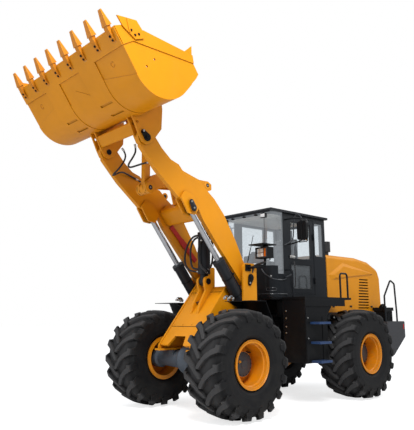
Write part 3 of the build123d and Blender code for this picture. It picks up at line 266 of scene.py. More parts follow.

# %% [markdown]
# ## Tyres and wheels
# Tread rubber is nearly black, but a tyre that has rolled is greyer on the tops of its lugs, partly from dust
# and partly as a painted highlight, and its grooves are darkened as painted shade. Its sidewall is smoother,
# with moulded rings. The distance from the axle tells tread from sidewall, and both axles share one finish
# when that distance is folded about the middle of the wheelbase. The wheels take the body's yellow, with
# painted shade darkening the middle of the inner dish.

# %% Rubber with moulded rings on the sidewall, and wheel paint
front_low, front_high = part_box("tyre_front_left")
rear_low, rear_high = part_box("tyre_rear_left")
FRONT_X, REAR_X = (front_low.x + front_high.x) / 2, (rear_low.x + rear_high.x) / 2
AXLE_Z = (front_low.z + front_high.z) / 2
TYRE_R = front_high.z - AXLE_Z


def axle_distance(f):
    """How far a point lies from the nearer axle."""
    middle, half = (FRONT_X + REAR_X) / 2, (FRONT_X - REAR_X) / 2
    along = f.part(0, (middle, 0, 0)).size() - half
    up = f.part(2, (0, 0, AXLE_Z))
    return (along ** 2.0 + up ** 2.0) ** 0.5


def tyre_rubber():
    """Dusty tread rubber with a smoother, ringed sidewall, the tops of the lugs lighter partly from dust and
    partly as a painted highlight, and the grooves darkened as painted shade.
    """
    f = Finish("tyre_rubber")
    out = axle_distance(f)
    tread = out.between(TYRE_R * 0.78, TYRE_R * 0.86)
    rings = (out * 260.0).wave() * (1.0 - tread)
    blotch = f.noise(5.0, 6.0).between(0.35, 0.68)
    scuff = f.edges(0.02) * f.noise(30.0, 4.0).between(0.35, 0.6)
    base = f.mix(blotch, (0.008, 0.008, 0.009), (0.015, 0.0148, 0.0148))
    # The tops of the lugs turn lighter grey: partly dust and scuffing, partly a painted highlight.
    lug_dust_and_highlight = out.between(TYRE_R - 0.085, TYRE_R - 0.03)
    base = f.mix(lug_dust_and_highlight * tread * 0.85, base, (0.062, 0.061, 0.062))
    # Painted shade: grooves and tight corners are darkened nearly to black.
    base = f.mix(f.crease_shade(0.09) * 0.8, base, (0.004, 0.004, 0.004))
    base = f.mix((0.55 * scuff * tread).clamp(), base, (0.075, 0.072, 0.07))
    base = f.mix((0.12 * blotch * (1.0 - f.part(2).between(0.0, 0.5))).clamp(), base, (0.1, 0.09, 0.075))
    height = rings * 0.35 + f.noise(120.0, 4.0) * 0.5
    return f.shade(Base_Color=base, Roughness=0.5 + 0.18 * blotch, Specular_IOR_Level=0.16,
                   Normal=f.bumps(height, 0.002, 0.5))


def wheel_paint():
    """Rim yellow, with painted shade darkening the inner dish behind the brake housing and the tight corners.
    """
    f = Finish("wheel_paint")
    # Painted shade: the inner dish, inboard and near the axle, is made nearly black.
    inner = (1.0 - f.part(1).size().between(0.93, 0.96)) * (1.0 - axle_distance(f).between(0.27, 0.29))
    worn = f.edges(0.01) * f.noise(22.0, 5.0).between(0.42, 0.62) * 0.5
    dirt = f.noise(9.0, 5.0).between(0.4, 0.75) * 0.22
    base = f.mix(f.noise(1.4, 3.0).between(0.3, 0.7), (0.76, 0.262, 0.004), (0.66, 0.22, 0.004))
    base = f.mix(worn, base, RUBBED_YELLOW)
    # Painted shade: tight corners darkened to a deep brown.
    base = f.mix(f.crease_shade(0.08) * 0.7, base, (0.2, 0.055, 0.002))
    base = f.mix(dirt, base, (0.25, 0.16, 0.07))
    base = f.mix(inner, base, (0.012, 0.013, 0.016))
    return f.shade(Base_Color=base, Roughness=(0.34 + 0.5 * dirt).clamp(), Specular_IOR_Level=0.25,
                   Coat_Weight=0.05, Coat_Roughness=0.15, Normal=f.bumps(f.noise(340.0, 2.0), 0.0005, 0.3))


finishes["rim_orange"] = wheel_paint()
finishes["tyre_rubber"] = tyre_rubber()
print("tyre radius", round(TYRE_R, 3), "axle height", round(AXLE_Z, 3))

# %% [markdown]
# ## Castings, plastics and bright steel
# The counterweight and the engine are sand castings, which keep the mould's grain. Trim is moulded plastic
# with a fine leather-like grain. The cylinder rods are ground and chromed, so only faint rings of wear break
# their mirror.


# %% Castings, plastics, chrome
def casting(name, colour):
    """A painted sand casting with the mould's grain."""
    f = Finish(name)
    grain = f.noise(75.0, 6.0, 0.7)
    patch = f.noise(3.0, 4.0).between(0.35, 0.65)
    worn = (f.edges(0.015) * f.noise(14.0).between(0.4, 0.6) * 0.6).clamp()
    base = f.mix(patch, colour, scaled(colour, 1.35))
    base = f.mix(worn, base, (0.17, 0.165, 0.16))
    return f.shade(Base_Color=base, Roughness=0.5 + 0.2 * patch, Coat_Weight=0.1,
                   Normal=f.bumps(grain, 0.003, 0.5))


def plastic(name, colour, rough=0.5, grain_depth=0.0006):
    """Moulded plastic with a fine grain and a faint dusty bloom."""
    f = Finish(name)
    bloom = f.noise(6.0, 5.0).between(0.4, 0.75)
    base = f.mix(bloom * 0.35, colour, scaled(colour, 1.6, 0.01))
    return f.shade(Base_Color=base, Roughness=rough + 0.15 * bloom,
                   Normal=f.bumps(f.noise(420.0, 3.0), grain_depth, 0.5))


def bright_steel(name, colour, rough):
    """Ground steel with faint rings and a film of oil."""
    f = Finish(name)
    film = f.noise(12.0, 4.0).between(0.4, 0.7)
    base = f.mix(film * 0.4, colour, scaled(colour, 0.8))
    return f.shade(Base_Color=base, Metallic=1.0, Roughness=rough + 0.1 * film,
                   Normal=f.bumps(f.noise(90.0, 2.0), 0.0002, 0.4))


finishes |= {
    "counterweight_iron": casting("counterweight_casting", (0.03, 0.03, 0.034)),
    "engine_iron": casting("engine_casting", (0.14, 0.14, 0.15)),
    "seat_plastic": plastic("cab_trim", (0.03, 0.031, 0.034)),
    "plastic_black": plastic("black_plastic", (0.014, 0.014, 0.015)),
    "lamp_red": plastic("red_lamp", (0.5, 0.008, 0.008), rough=0.18),
    "chrome_rod": bright_steel("chromed_rod", (0.42, 0.43, 0.45), 0.2),
    "bolt_steel": bright_steel("zinc_bolt", (0.52, 0.51, 0.49), 0.34),
    "hose_rubber": plastic("hose_rubber", (0.018, 0.018, 0.019), rough=0.42, grain_depth=0.0003),
    "trim_black": paint("trim_satin_black", (0.03, 0.034, 0.04), (0.1, 0.1, 0.1), rough=0.22, dust=0.02,
                        coat=0.3, shine=0.6),
    "headliner": plastic("headliner_cloth", (0.62, 0.57, 0.5), rough=0.8, grain_depth=0.001),
    "trim_grey": plastic("console_grey", (0.16, 0.165, 0.175)),
    "lens_pale": plastic("work_lamp_lens", (0.72, 0.74, 0.76), rough=0.12),
    "mirror_silver": bright_steel("mirror_silver", (0.8, 0.82, 0.84), 0.03),
    "reflector_red": plastic("reflector_red", (0.45, 0.01, 0.012), rough=0.2),
}
print("finishes:", len(finishes))

# %% [markdown]
# ## Window glass
# A cab pane is flat safety glass: it lets the light through with a slight grey-green tint and mirrors the
# sky at a low angle. Real refraction would hide the cab's inside behind dark shadows, so a clear shader and a
# glossy one are mixed by the angle instead, under a thin painted glow of pale light that the pane gives off.
# The door's pane is the clearer one.


# %% Clear panes
def clear_pane(name, mirror, painted_glow):
    """Tinted clear glass: its mirror grows at low angles, with a trace of dust and a painted glow of pale
    light.
    """
    f = Finish(name)
    through = f.node("BsdfTransparent", {"Color": (0.955, 0.975, 0.985)})
    gloss = f.node("BsdfGlossy", {"Color": (0.85, 0.88, 0.9), "Roughness": 0.03})
    angle = f.value("LayerWeight", {"Blend": 0.3}, "Facing")
    dust = f.noise(4.0, 6.0).between(0.45, 0.8) * 0.03
    pane = f.both(through, gloss, (mirror + 0.2 * angle * angle + dust).clamp())
    # Painted light: a pale emission mixed into the pane makes the glass glow.
    pale = f.node("Emission", {"Color": (0.8, 0.85, 0.9), "Strength": 0.75})
    return f.surface(f.both(pane, pale, painted_glow))


finishes["window_glass"] = clear_pane("window_glass", 0.05, 0.14)
door_pane = clear_pane("door_window", 0.03, 0.02)
print("panes ready")

# %% [markdown]
# ## Dressing the model
# The record gives each solid its material slot. A finish is put in the slots of every solid that names it,
# so a new piece in the model is dressed without a new line here.

# %% Give every solid its finish
slot_of = {row["node"]: row["material_slot"] for row in frame["record"]["subparts"]}
for name, piece in nodes.items():
    piece.data.materials.clear()
    piece.data.materials.append(finishes[slot_of[name]])
print("dressed:", len(slot_of))

# %% [markdown]
# ## Shapes that repeat
# Bolts, pin ends and covers are round and turn up all over the machine. Each could be an array, but their
# places follow the machine's own sizes, so a shape is made once on the Z axis and stamped into one mesh at
# every place. A solid of revolution comes from spinning a few points, and a bar from a curve with a round
# section. What comes in pairs is written for the left side only and mirrored.


# %% Helpers for turned and stamped shapes
def finished(name, bm, body, finish, smooth=35.0):
    """A piece from a bmesh: its body, its finish's name and the angle in degrees
    under which its bends are smooth."""
    bmesh.ops.remove_doubles(bm, verts=bm.verts, dist=1e-6)
    bmesh.ops.recalc_face_normals(bm, faces=bm.faces)
    mesh = bpy.data.meshes.new(name)
    bm.to_mesh(mesh)
    bm.free()
    mesh.shade_smooth()
    mesh.set_sharp_from_angle(angle=math.radians(smooth))
    mesh.materials.append(finishes[finish])
    piece = bpy.data.objects.new(name, mesh)
    bpy.context.scene.collection.objects.link(piece)
    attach(piece, body)
    return piece


def facing(point, direction, roll=0.0):
    """The place of a shape made on Z: stood at a point, along a direction, turned by a roll in degrees."""
    turn = Vector(direction).to_track_quat("Z", "Y").to_matrix().to_4x4()
    return Matrix.Translation(point) @ turn @ Matrix.Rotation(math.radians(roll), 4, "Z")


def turned(profile, steps=40):
    """A solid of revolution about Z, from points of radius and height."""
    bm = bmesh.new()
    verts = [bm.verts.new((radius, 0.0, height)) for radius, height in profile]
    edges = [bm.edges.new(pair) for pair in zip(verts, verts[1:])]
    bmesh.ops.spin(bm, geom=verts + edges, axis=(0, 0, 1), cent=(0, 0, 0), angle=2 * math.pi, steps=steps,
                   use_merge=True)
    bmesh.ops.remove_doubles(bm, verts=bm.verts, dist=1e-6)
    return bm


def stamped(shape, places):
    """One mesh with a copy of the shape at every place."""
    whole, pattern = bmesh.new(), bpy.data.meshes.new("pattern")
    for place in places:
        shape.to_mesh(pattern)
        pattern.transform(place)
        whole.from_mesh(pattern)
    bpy.data.meshes.remove(pattern)
    shape.free()
    return whole


def rounded_box(size, radius, centre=(0, 0, 0)):
    """A box whose every edge is rounded."""
    bm = bmesh.new()
    bmesh.ops.create_cube(bm, size=1.0, matrix=Matrix.Translation(centre) @ Matrix.Diagonal((*size, 1.0)))
    bmesh.ops.bevel(bm, geom=bm.edges[:], offset=radius, segments=2, profile=0.5, affect="EDGES", material=-1)
    return bm


def bar(points, radius, order=3):
    """A round bar whose line is a smooth spline steered by the points, or straight runs at order 2."""
    curve = bpy.data.curves.new("bar", "CURVE")
    curve.dimensions, curve.bevel_depth, curve.bevel_resolution, curve.use_fill_caps = "3D", radius, 3, True
    spline = curve.splines.new("NURBS")
    spline.points.add(len(points) - 1)
    for steered, point in zip(spline.points, points):
        steered.co = (*point, 1.0)
    spline.order_u, spline.use_endpoint_u, spline.resolution_u = order, True, 6
    holder = bpy.data.objects.new("bar", curve)
    bpy.context.scene.collection.objects.link(holder)
    mesh = bpy.data.meshes.new_from_object(holder)
    bpy.data.objects.remove(holder)
    bm = bmesh.new()
    bm.from_mesh(mesh)
    bpy.data.meshes.remove(mesh)
    return bm


def joined(*shapes):
    """Several shapes as one mesh."""
    whole, carrier = bmesh.new(), bpy.data.meshes.new("carrier")
    for shape in shapes:
        shape.to_mesh(carrier)
        whole.from_mesh(carrier)
        shape.free()
    bpy.data.meshes.remove(carrier)
    return whole


def boxes(*rows):
    """Rounded boxes as one mesh, from rows of size, radius and centre."""
    return joined(*[rounded_box(*row) for row in rows])


def bars(lines, radius, order=3):
    """Round bars of one radius as one mesh, from lists of points."""
    return joined(*[bar(points, radius, order) for points in lines])


def both_sides(*points):
    """A list of points on the left side and the same points mirrored to the right."""
    return [[(x, side * y, z) for x, y, z in points] for side in SIDES]


def rectangle(low, high):
    """The closed outline between two corners, as pairs."""
    (x0, z0), (x1, z1) = low, high
    return (x0, z0), (x1, z0), (x1, z1), (x0, z1), (x0, z0)


def outward(x, y, z):
    """Two places that face out of the machine's left and right sides."""
    return [facing((x, side * y, z), (0, side, 0)) for side in SIDES]


def bolt_head(size):
    """A hexagon head with a chamfered top on a round washer."""
    washer = turned([(0.0, 0.0), (1.1 * size, 0.0), (1.1 * size, 0.16 * size), (0.0, 0.16 * size)], 20)
    head = bmesh.new()
    bmesh.ops.create_cone(head, cap_ends=True, segments=6, radius1=0.95 * size, radius2=0.95 * size,
                          depth=0.66 * size, matrix=Matrix.Translation((0, 0, 0.47 * size)))
    top = [edge for edge in head.edges if all(v.co.z > 0.7 * size for v in edge.verts)]
    bmesh.ops.bevel(head, geom=top, offset=0.12 * size, segments=1, profile=0.5, affect="EDGES", material=-1)
    return joined(washer, head)


def bolts(name, size, places, body, finish="bolt_steel"):
    """Bolt heads of one size at every place."""
    finished(name, stamped(bolt_head(size), places), body, finish)


def on_rear(name, bm, finish="plastic_black"):
    """A piece that stands still on the rear half, most of them on the cab."""
    finished(name, bm, "rear_body", finish)


print("helpers ready")

# %% [markdown]
# ## Wheel hubs
# The rim's middle is the cover of a planetary hub: a dark casting ringed with small bolts, with a filler
# plug that is painted like the body. The cover could be a plain disc, but its stepped rim catches the light,
# so it is spun from its section. The air valve stands in the rim's dish.

# %% Hub covers, bolts, plugs and valves
HUB_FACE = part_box("front_axle")[1].y + 0.025
hub_cover = [(0.0, 0.02), (0.052, 0.02), (0.058, 0.011), (0.15, 0.011), (0.158, 0.006), (0.181, 0.005),
             (0.184, 0.0006), (0.0, 0.0006)]
plug = [(0.0, 0.034), (0.012, 0.034), (0.016, 0.03), (0.017, 0.018), (0.024, 0.016), (0.024, 0.009),
        (0.0, 0.009)]
valve = [(0.0, 0.095), (0.006, 0.094), (0.008, 0.07), (0.012, 0.068), (0.012, 0.02), (0.019, 0.017),
         (0.021, 0.0), (0.0, 0.0)]
for name, x in (("front", FRONT_X), ("rear", REAR_X)):
    for hand, side in zip(("left", "right"), SIDES):
        body = f"wheel_{name}_{hand}"

        def on_hub(radius, angle, out):
            """A place on the hub's face, at a radius and an angle from the front."""
            turn = math.radians(angle)
            at = (x + radius * math.cos(turn), side * (HUB_FACE + out), AXLE_Z + radius * math.sin(turn))
            return facing(at, (0, side, 0))

        finished(f"hub_cover_{name}_{hand}", stamped(turned(hub_cover, 56), [on_hub(0, 0, 0)]), body,
                 "counterweight_iron")
        spots = [on_hub(0.168, 22.5 * n, 0.0055) for n in range(16)]
        bolts(f"hub_bolts_{name}_{hand}", 0.0085, spots, body, "dark_steel")
        finished(f"hub_plug_{name}_{hand}", stamped(turned(plug, 24), [on_hub(0.095, 25, 0.0)]), body,
                 "body_yellow")
        finished(f"valve_{name}_{hand}", stamped(turned(valve, 16), [on_hub(0.262, 142, -0.12)]), body,
                 "plastic_black")
print("hub face at", round(HUB_FACE, 3))

# %% [markdown]
# ## Bucket fittings
# Each tooth's adapter is held under the cutting edge by two plough bolts, and the side cutters by three. The
# two plug welds under the floor show as broken rings. The bolts are stamped along the edge with one loop;
# modelling each apart would say the same eight times.

# %% Adapter bolts, cutter bolts and weld rings
LIP, HEEL = Vector((3.852, 0.0, 5.282)), Vector((3.063, 0.0, 4.162))
back = (HEEL - LIP).normalized()
out_of_floor = Vector((-back.z, 0.0, back.x))
TOOTH_PITCH = 0.373
spots = []
for number in range(8):
    y = (number - 3.5) * TOOTH_PITCH
    for along, out in ((0.095, 0.0455), (0.152, 0.0292)):
        at = LIP + back * along + out_of_floor * out + Vector((0, y, 0))
        spots.append(facing(at, out_of_floor, 12 * number))
bolts("adapter_bolts", 0.017, spots, "bucket", "dark_steel")
cutter_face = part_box("bucket")[1].y - 0.01
spots = [facing((cx, side * cutter_face, cz), (0, side, 0)) for side in SIDES
         for cx, cz in ((3.475, 5.285), (3.535, 5.252), (3.6, 5.3))]
bolts("cutter_bolts", 0.016, spots, "bucket", "dark_steel")
ring = bmesh.new()
bmesh.ops.create_circle(ring, segments=10, radius=0.0055, matrix=Matrix.Translation((0.036, 0, 0))
                        @ Matrix.Rotation(math.pi / 2, 4, "X"))
bmesh.ops.spin(ring, geom=ring.edges[:] + ring.verts[:], axis=(0, 0, 1), cent=(0, 0, 0),
               angle=math.radians(300), steps=30)
bmesh.ops.holes_fill(ring, edges=ring.edges[:])
middle = LIP + back * 0.413 + out_of_floor * 0.001
spots = [facing(middle + Vector((0, y, 0)), out_of_floor, 40) for y in (1.048, -1.048)]
finished("floor_weld_rings", stamped(ring, spots), "bucket", "tooth_steel")
print("cutter face at", round(cutter_face, 3))

# %% [markdown]
# ## Pin ends
# A linkage pin ends in a raised boss of the arm's own colour, with the darker pin and its locking bolt in
# the middle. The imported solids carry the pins, so a thin boss ring is spun around each end and a bolt set in
# its centre.


# %% Boss rings and pin bolts
def pin_end(name, body, at, face_y, inner, outer, skirt=0.001):
    """On each side of a pin a boss ring that turns down over the boss's side, a disc and a bolt."""
    places = outward(at[0], face_y, at[1])
    ring = turned([(inner, -0.001), (inner, 0.006), (outer - 0.004, 0.006), (outer, 0.002), (outer, -skirt),
                   (outer - 0.003, -skirt), (outer - 0.003, -0.001), (inner, -0.001)], 36)
    finished(f"{name}_bosses", stamped(ring, places), body, "body_yellow")
    disc = turned([(0.0, 0.003), (inner - 0.002, 0.003), (inner + 0.001, 0.0), (0.0, 0.0)], 30)
    finished(f"{name}_end_discs", stamped(disc, places), body, "cylinder_grey")
    places = [place @ Matrix.Translation((0, 0, 0.003)) for place in places]
    bolts(f"{name}_end_bolts", 0.013, places, body)


pin_end("link_pin", "link_pin", (2.26, 3.589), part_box("link_pin")[1].y, 0.04, 0.0955, 0.02)
pin_end("rocker_pin", "rocker_pin", (1.552, 3.817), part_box("rocker_pin")[1].y, 0.036, 0.078, 0.012)
ARM_FACE = 0.565
pin_end("arm_crest", "boom", (1.403, 3.677), ARM_FACE, 0.034, 0.062)
pin_end("bucket_link", "bucket", (2.257, 4.537), 0.107, 0.03, 0.054)
cap = [(0.0, 0.001), (0.011, 0.001), (0.013, 0.006), (0.026, 0.006), (0.03, 0.0), (0.0, 0.0)]
for name, body, face_y, (cap_x, cap_z), (bolt_x, bolt_z) in (
        ("boom_pivot", "front_body", 0.697, (0.51, 2.19), (0.548, 2.09)),
        ("bucket_pin", "bucket_pins", 0.632, (2.69, 4.225), (2.772, 4.3))):
    finished(f"{name}_caps", stamped(turned(cap, 30), outward(cap_x, face_y, cap_z)), body, "dark_steel")
    bolts(f"{name}_keeper_bolts", 0.017, outward(bolt_x, face_y, bolt_z), body)
print("arm face", ARM_FACE)

# %% [markdown]
# ## Lift and tilt cylinders
# A pear-shaped keeper plate with two bolts locks each lift rod's pin, and steel pipes clipped to the barrels
# lead the oil to their rod ends. Rubber hoses cross from the tilt cylinder's ports to the frame in wide
# loops. A pipe could be a chain of cylinders, but a spline with a round section bends as a pipe does.

# %% Keepers, pipes, clips and fittings
LIFT_BASE, LIFT_EYE = Vector((0.432, 0.0, 1.537)), Vector((1.758, 0.0, 3.251))
lift_way = (LIFT_EYE - LIFT_BASE).normalized()
lift_up = Vector((-lift_way.z, 0.0, lift_way.x))


def pear(big, small, reach, thick):
    """A plate around two circles, its outer edge rounded."""
    bm = bmesh.new()
    for radius, x in ((big, 0.0), (small, reach)):
        for z in (0.0, thick):
            bmesh.ops.create_circle(bm, segments=28, radius=radius, matrix=Matrix.Translation((x, 0, z)))
    hull = bmesh.ops.convex_hull(bm, input=bm.verts[:])
    spare = [v for v in hull["geom_interior"] + hull["geom_unused"] if isinstance(v, bmesh.types.BMVert)]
    bmesh.ops.delete(bm, geom=list(set(spare)), context="VERTS")
    bmesh.ops.dissolve_limit(bm, angle_limit=0.02, verts=bm.verts[:], edges=bm.edges[:])
    top = [edge for edge in bm.edges if all(v.co.z > thick * 0.9 for v in edge.verts)]
    bmesh.ops.bevel(bm, geom=top, offset=0.004, segments=2, profile=0.5, affect="EDGES", material=-1)
    return bm


KEEPER_REACH, KEEPER_THICK = 0.11, 0.014
turn = math.radians(62)
keepers = []
for side in SIDES:
    along, out = Vector((math.cos(turn), 0.0, math.sin(turn))), Vector((0.0, side, 0.0))
    axes = Matrix((along, out.cross(along), out)).transposed().to_4x4()
    keepers.append(Matrix.Translation((1.77, side * 0.637, 3.24)) @ axes)
finished("lift_eye_keepers", stamped(pear(0.056, 0.04, KEEPER_REACH, KEEPER_THICK), keepers), "boom",
         "cylinder_grey")
spots = [place @ Matrix.Translation((reach, 0, KEEPER_THICK)) for place in keepers
         for reach in (0.0, KEEPER_REACH)]
bolts("lift_eye_bolts", 0.015, spots, "boom")

LIFT_Y, PIPE_RISE, CLIPS = 0.525, 0.098, (0.46, 0.8)
pipes, clips, elbows = [], [], []
for side in SIDES:
    for shift, end in ((0.0, 1.06), (0.034, 0.62)):
        across = Vector((0, side * (LIFT_Y + 0.052 + shift * 0.8), 0))
        ride_out = lift_up * (PIPE_RISE - shift * 1.2)
        low, high = LIFT_BASE + lift_way * (0.34 + shift * 2), LIFT_BASE + lift_way * end
        pipes.append(bar([low + across + ride_out, high + across + ride_out,
                          high + lift_way * 0.03 + across * 0.97 + ride_out * 0.8], 0.01))
    for distance in CLIPS:
        at = LIFT_BASE + lift_way * distance + lift_up * PIPE_RISE + Vector((0, side * 0.578, 0))
        clips.append(facing(at, lift_way))
finished("lift_pipes", joined(*pipes), "lift_barrels", "cylinder_grey")
clip = rounded_box((0.034, 0.05, 0.026), 0.004)
finished("lift_pipe_clips", stamped(clip, clips), "lift_barrels", "dark_steel")
band = turned([(0.0955, -0.009), (0.1, -0.009), (0.1, 0.009), (0.0955, 0.009), (0.0955, -0.009)], 44)
spots = [facing(LIFT_BASE + lift_way * distance + Vector((0, side * LIFT_Y, 0)), lift_way)
         for side in SIDES for distance in CLIPS]
finished("lift_barrel_bands", stamped(band, spots), "lift_barrels", "dark_steel")

ELBOWS = ((1.03, 0.612), (0.955, 0.645))
for x, y in ELBOWS:
    elbows += both_sides((x - 0.035, y, 1.79), (x - 0.035, y, 1.845), (x + 0.01, y, 1.868),
                         (x + 0.05, y, 1.845), (x + 0.05, y, 1.81))
finished("fender_elbows", bars(elbows, 0.016), "front_body", "chrome_rod")
nut = turned([(0.0, -0.018), (0.021, -0.018), (0.024, -0.014), (0.024, 0.014), (0.021, 0.018),
              (0.0, 0.018)], 6)
spots = [facing((x + ahead, side * y, z), (0, 0, 1)) for ahead, z in ((-0.035, 1.82), (0.05, 1.825))
         for x, y in ELBOWS for side in SIDES]
finished("fender_elbow_nuts", stamped(nut, spots), "front_body", "bolt_steel")
print("pipes:", len(pipes), "elbows:", len(elbows))

# %% Hoses in loops on the tilt cylinder and between the arms
def hoses(name, loops, radius, body, sleeve, grips):
    """Rubber hoses with a steel sleeve a share of the way along the first and the last run."""
    finished(f"{name}_hoses", bars(loops, radius), body, "hose_rubber")
    spots = []
    for points in loops:
        for end, near, share in ((0, 1, grips[0]), (-1, -2, grips[1])):
            first, second = Vector(points[end]), Vector(points[near])
            spots.append(facing(first.lerp(second, share), second - first))
    finished(f"{name}_hose_ferrules", stamped(turned(sleeve, 18), spots), body, "bolt_steel")


tilt_loops = [
    [(0.985, -0.06, 2.93), (1.06, -0.11, 2.96), (1.08, -0.27, 2.86), (1.08, -0.4, 2.63),
     (1.08, -0.375, 2.42), (1.06, -0.225, 2.3), (1.0, -0.06, 2.31)],
    [(1.01, -0.02, 2.89), (1.09, -0.06, 2.92), (1.1, -0.21, 2.78), (1.1, -0.215, 2.5), (1.09, -0.15, 2.32),
     (1.0, -0.02, 2.36)],
    [(1.02, 0.03, 2.84), (1.11, 0.05, 2.83), (1.12, 0.01, 2.62), (1.11, 0.05, 2.38), (1.06, 0.19, 2.27),
     (0.99, 0.07, 2.29)],
    [(0.965, 0.085, 2.9), (0.985, 0.18, 2.93), (0.99, 0.25, 2.74), (0.99, 0.24, 2.48), (0.98, 0.17, 2.34),
     (0.965, 0.085, 2.34)],
]
sleeve = [(0.0, -0.03), (0.017, -0.03), (0.019, -0.024), (0.019, 0.024), (0.016, 0.03), (0.0, 0.03)]
hoses("tilt", tilt_loops, 0.0175, "tilt_barrel", sleeve, (0.35, 0.25))

arm_loops = [
    [(2.6, -0.2, 4.25), (2.525, -0.2, 4.18), (2.53, -0.2, 4.073), (2.61, -0.24, 3.92),
     (2.69, -0.34, 3.795), (2.61, -0.36, 3.835), (2.519, -0.35, 3.894), (2.337, -0.46, 3.927),
     (1.996, -0.487, 3.827)],
    [(2.7, 0.3, 4.18), (2.66, 0.29, 4.093), (2.69, 0.26, 3.99), (2.76, 0.21, 3.85),
     (2.73, 0.215, 3.81), (2.64, 0.3, 3.85), (2.599, 0.42, 3.869), (2.531, 0.486, 3.886)],
]
sleeve = [(0.0, -0.03), (0.017, -0.03), (0.019, 0.0), (0.016, 0.03), (0.0, 0.03)]
hoses("arm", arm_loops, 0.0145, "boom", sleeve, (0.3, 0.3))
print("hose loops:", len(tilt_loops) + len(arm_loops))

# %% [markdown]
# ## Headlamps
# Each lamp box holds a clear unit and an amber turn lamp behind one flat cover. Modelled reflectors would be
# lost behind glass this small, so the cover's finish is split by its distance from the machine's middle: a
# grid inboard whose bright cells are a painted reflection of the reflectors, amber outboard. A black bezel
# stands around both.


# %% Lamp lenses and bezels
LAMP_IN, LAMP_SPLIT, LAMP_OUT = 0.769, 0.932, 1.011


def lamp_lens():
    """A lens that is clear with a grid of reflector cells inboard, their brightness a painted reflection, and
    ribbed amber outboard.
    """
    f = Finish("lamp_lens")
    across, up = f.part(1).size(), f.part(2)
    turn_lamp = across > LAMP_SPLIT
    cells = [(place * 39.0).wave().size().between(0.0, 0.45) for place in (across - LAMP_IN, up - 2.517)]
    cell = cells[0] * cells[1]
    ribs = (up * 330.0).wave()
    # Painted reflection: each cell is light grey where a chrome reflector would mirror the light, dark between
    # the cells.
    clear = f.mix(cell, (0.16, 0.16, 0.17), (0.8, 0.8, 0.78))
    base = f.mix(turn_lamp, clear, (0.8, 0.15, 0.012))
    return f.shade(Base_Color=base, Roughness=0.12 + 0.1 * (1.0 - cell), Coat_Weight=0.5,
                   Coat_Roughness=0.05, Normal=f.bumps(cell * 0.6 + ribs * 0.2 * turn_lamp, 0.004, 0.6))


nodes["headlight_lenses"].data.materials[0] = lamp_lens()
lens_low, lens_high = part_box("headlight_lenses")
lamp_face = lens_high.x
middle_z = (lens_low.z + lens_high.z) / 2
bezels = []
for side in SIDES:
    middle_y = side * (LAMP_IN + LAMP_OUT) / 2
    frame_bm = rounded_box((0.022, 0.262, 0.182), 0.01, (lamp_face + 0.014, middle_y, middle_z))
    front = [face for face in frame_bm.faces if abs(face.normal.x) > 0.9 and face.calc_area() > 0.02]
    bmesh.ops.inset_region(frame_bm, faces=front, thickness=0.017, depth=0.0)
    bmesh.ops.delete(frame_bm, geom=front, context="FACES")
    rims = [edge for edge in frame_bm.edges if edge.is_boundary]
    bmesh.ops.bridge_loops(frame_bm, edges=rims)
    bezels.append(frame_bm)
    bezels.append(rounded_box((0.01, 0.006, 0.15), 0.002, (lamp_face + 0.004, side * LAMP_SPLIT, middle_z)))
lamp_arms = both_sides((0.4, 0.93, 2.44), (0.43, 0.86, 2.42), (0.44, 0.74, 2.4),
                       (0.448, 0.672, 2.35), (0.448, 0.655, 2.27))
finished("headlight_arms", bars(lamp_arms, 0.02), "front_body", "plastic_black")
finished("headlight_bezels", joined(*bezels), "front_body", "plastic_black")
print("lamp face at", round(lamp_face, 3))

# %% [markdown]
# ## Inside the cab
# Through the tall panes one sees a pale headliner, the backs of the pillars, a console and the driver's
# seat. The seat is foam under cloth, so both cushions are crowned grids with a sewn channel each side, closed
# into pads, and subdivided. A simulated cloth would only show the same crown behind two panes.


# %% Seat cushions
SEAT_TOP = 2.437


def cushion(width, length, thick, crown, channel):
    """A pad on the XY plane: crowned on top, pulled in between its corners, with two sewn channels."""
    bm = bmesh.new()
    bmesh.ops.create_cube(bm, size=1.0)
    bmesh.ops.subdivide_edges(bm, edges=bm.edges[:], cuts=11, use_grid_fill=True)
    for v in bm.verts:
        u, w, top = v.co.x * 2, v.co.y * 2, v.co.z * 2
        edge_in = 0.012 * (1.0 - abs(top)) + 0.01 * (top > 0) * 0.5
        bulge = crown * (1 - u ** 4) * (1 - w ** 4) * max(top, 0.0)
        seam = channel * math.exp(-((abs(w) - 0.55) / 0.07) ** 2) * (top > 0.9) * (1 - u ** 8)
        waist_x, waist_y = 1 - 0.03 * (1 - w * w), 1 - 0.03 * (1 - u * u)
        v.co = Vector((v.co.x * (length - edge_in) * waist_x, v.co.y * (width - edge_in) * waist_y,
                       v.co.z * thick + bulge - seam))
    bmesh.ops.smooth_vert(bm, verts=bm.verts, factor=0.5, use_axis_x=True, use_axis_y=True, use_axis_z=True)
    return bm


def seat_cloth():
    """Woven grey cloth: two crossed threads, a soft sheen and a drift in the dye."""
    f = Finish("seat_cloth")
    threads = [(f.part(axis) * 1500.0).wave() for axis in (0, 1, 2)]
    weave = threads[0] * threads[1] + threads[2] * threads[1]
    drift = f.noise(9.0, 5.0).between(0.35, 0.65)
    base = f.mix(drift, (0.2, 0.205, 0.215), (0.33, 0.335, 0.35))
    base = f.mix((weave * 0.25).clamp(), base, (0.48, 0.49, 0.51))
    return f.shade(Base_Color=base, Roughness=0.85, Sheen_Weight=0.3, Normal=f.bumps(weave, 0.0008, 0.5))


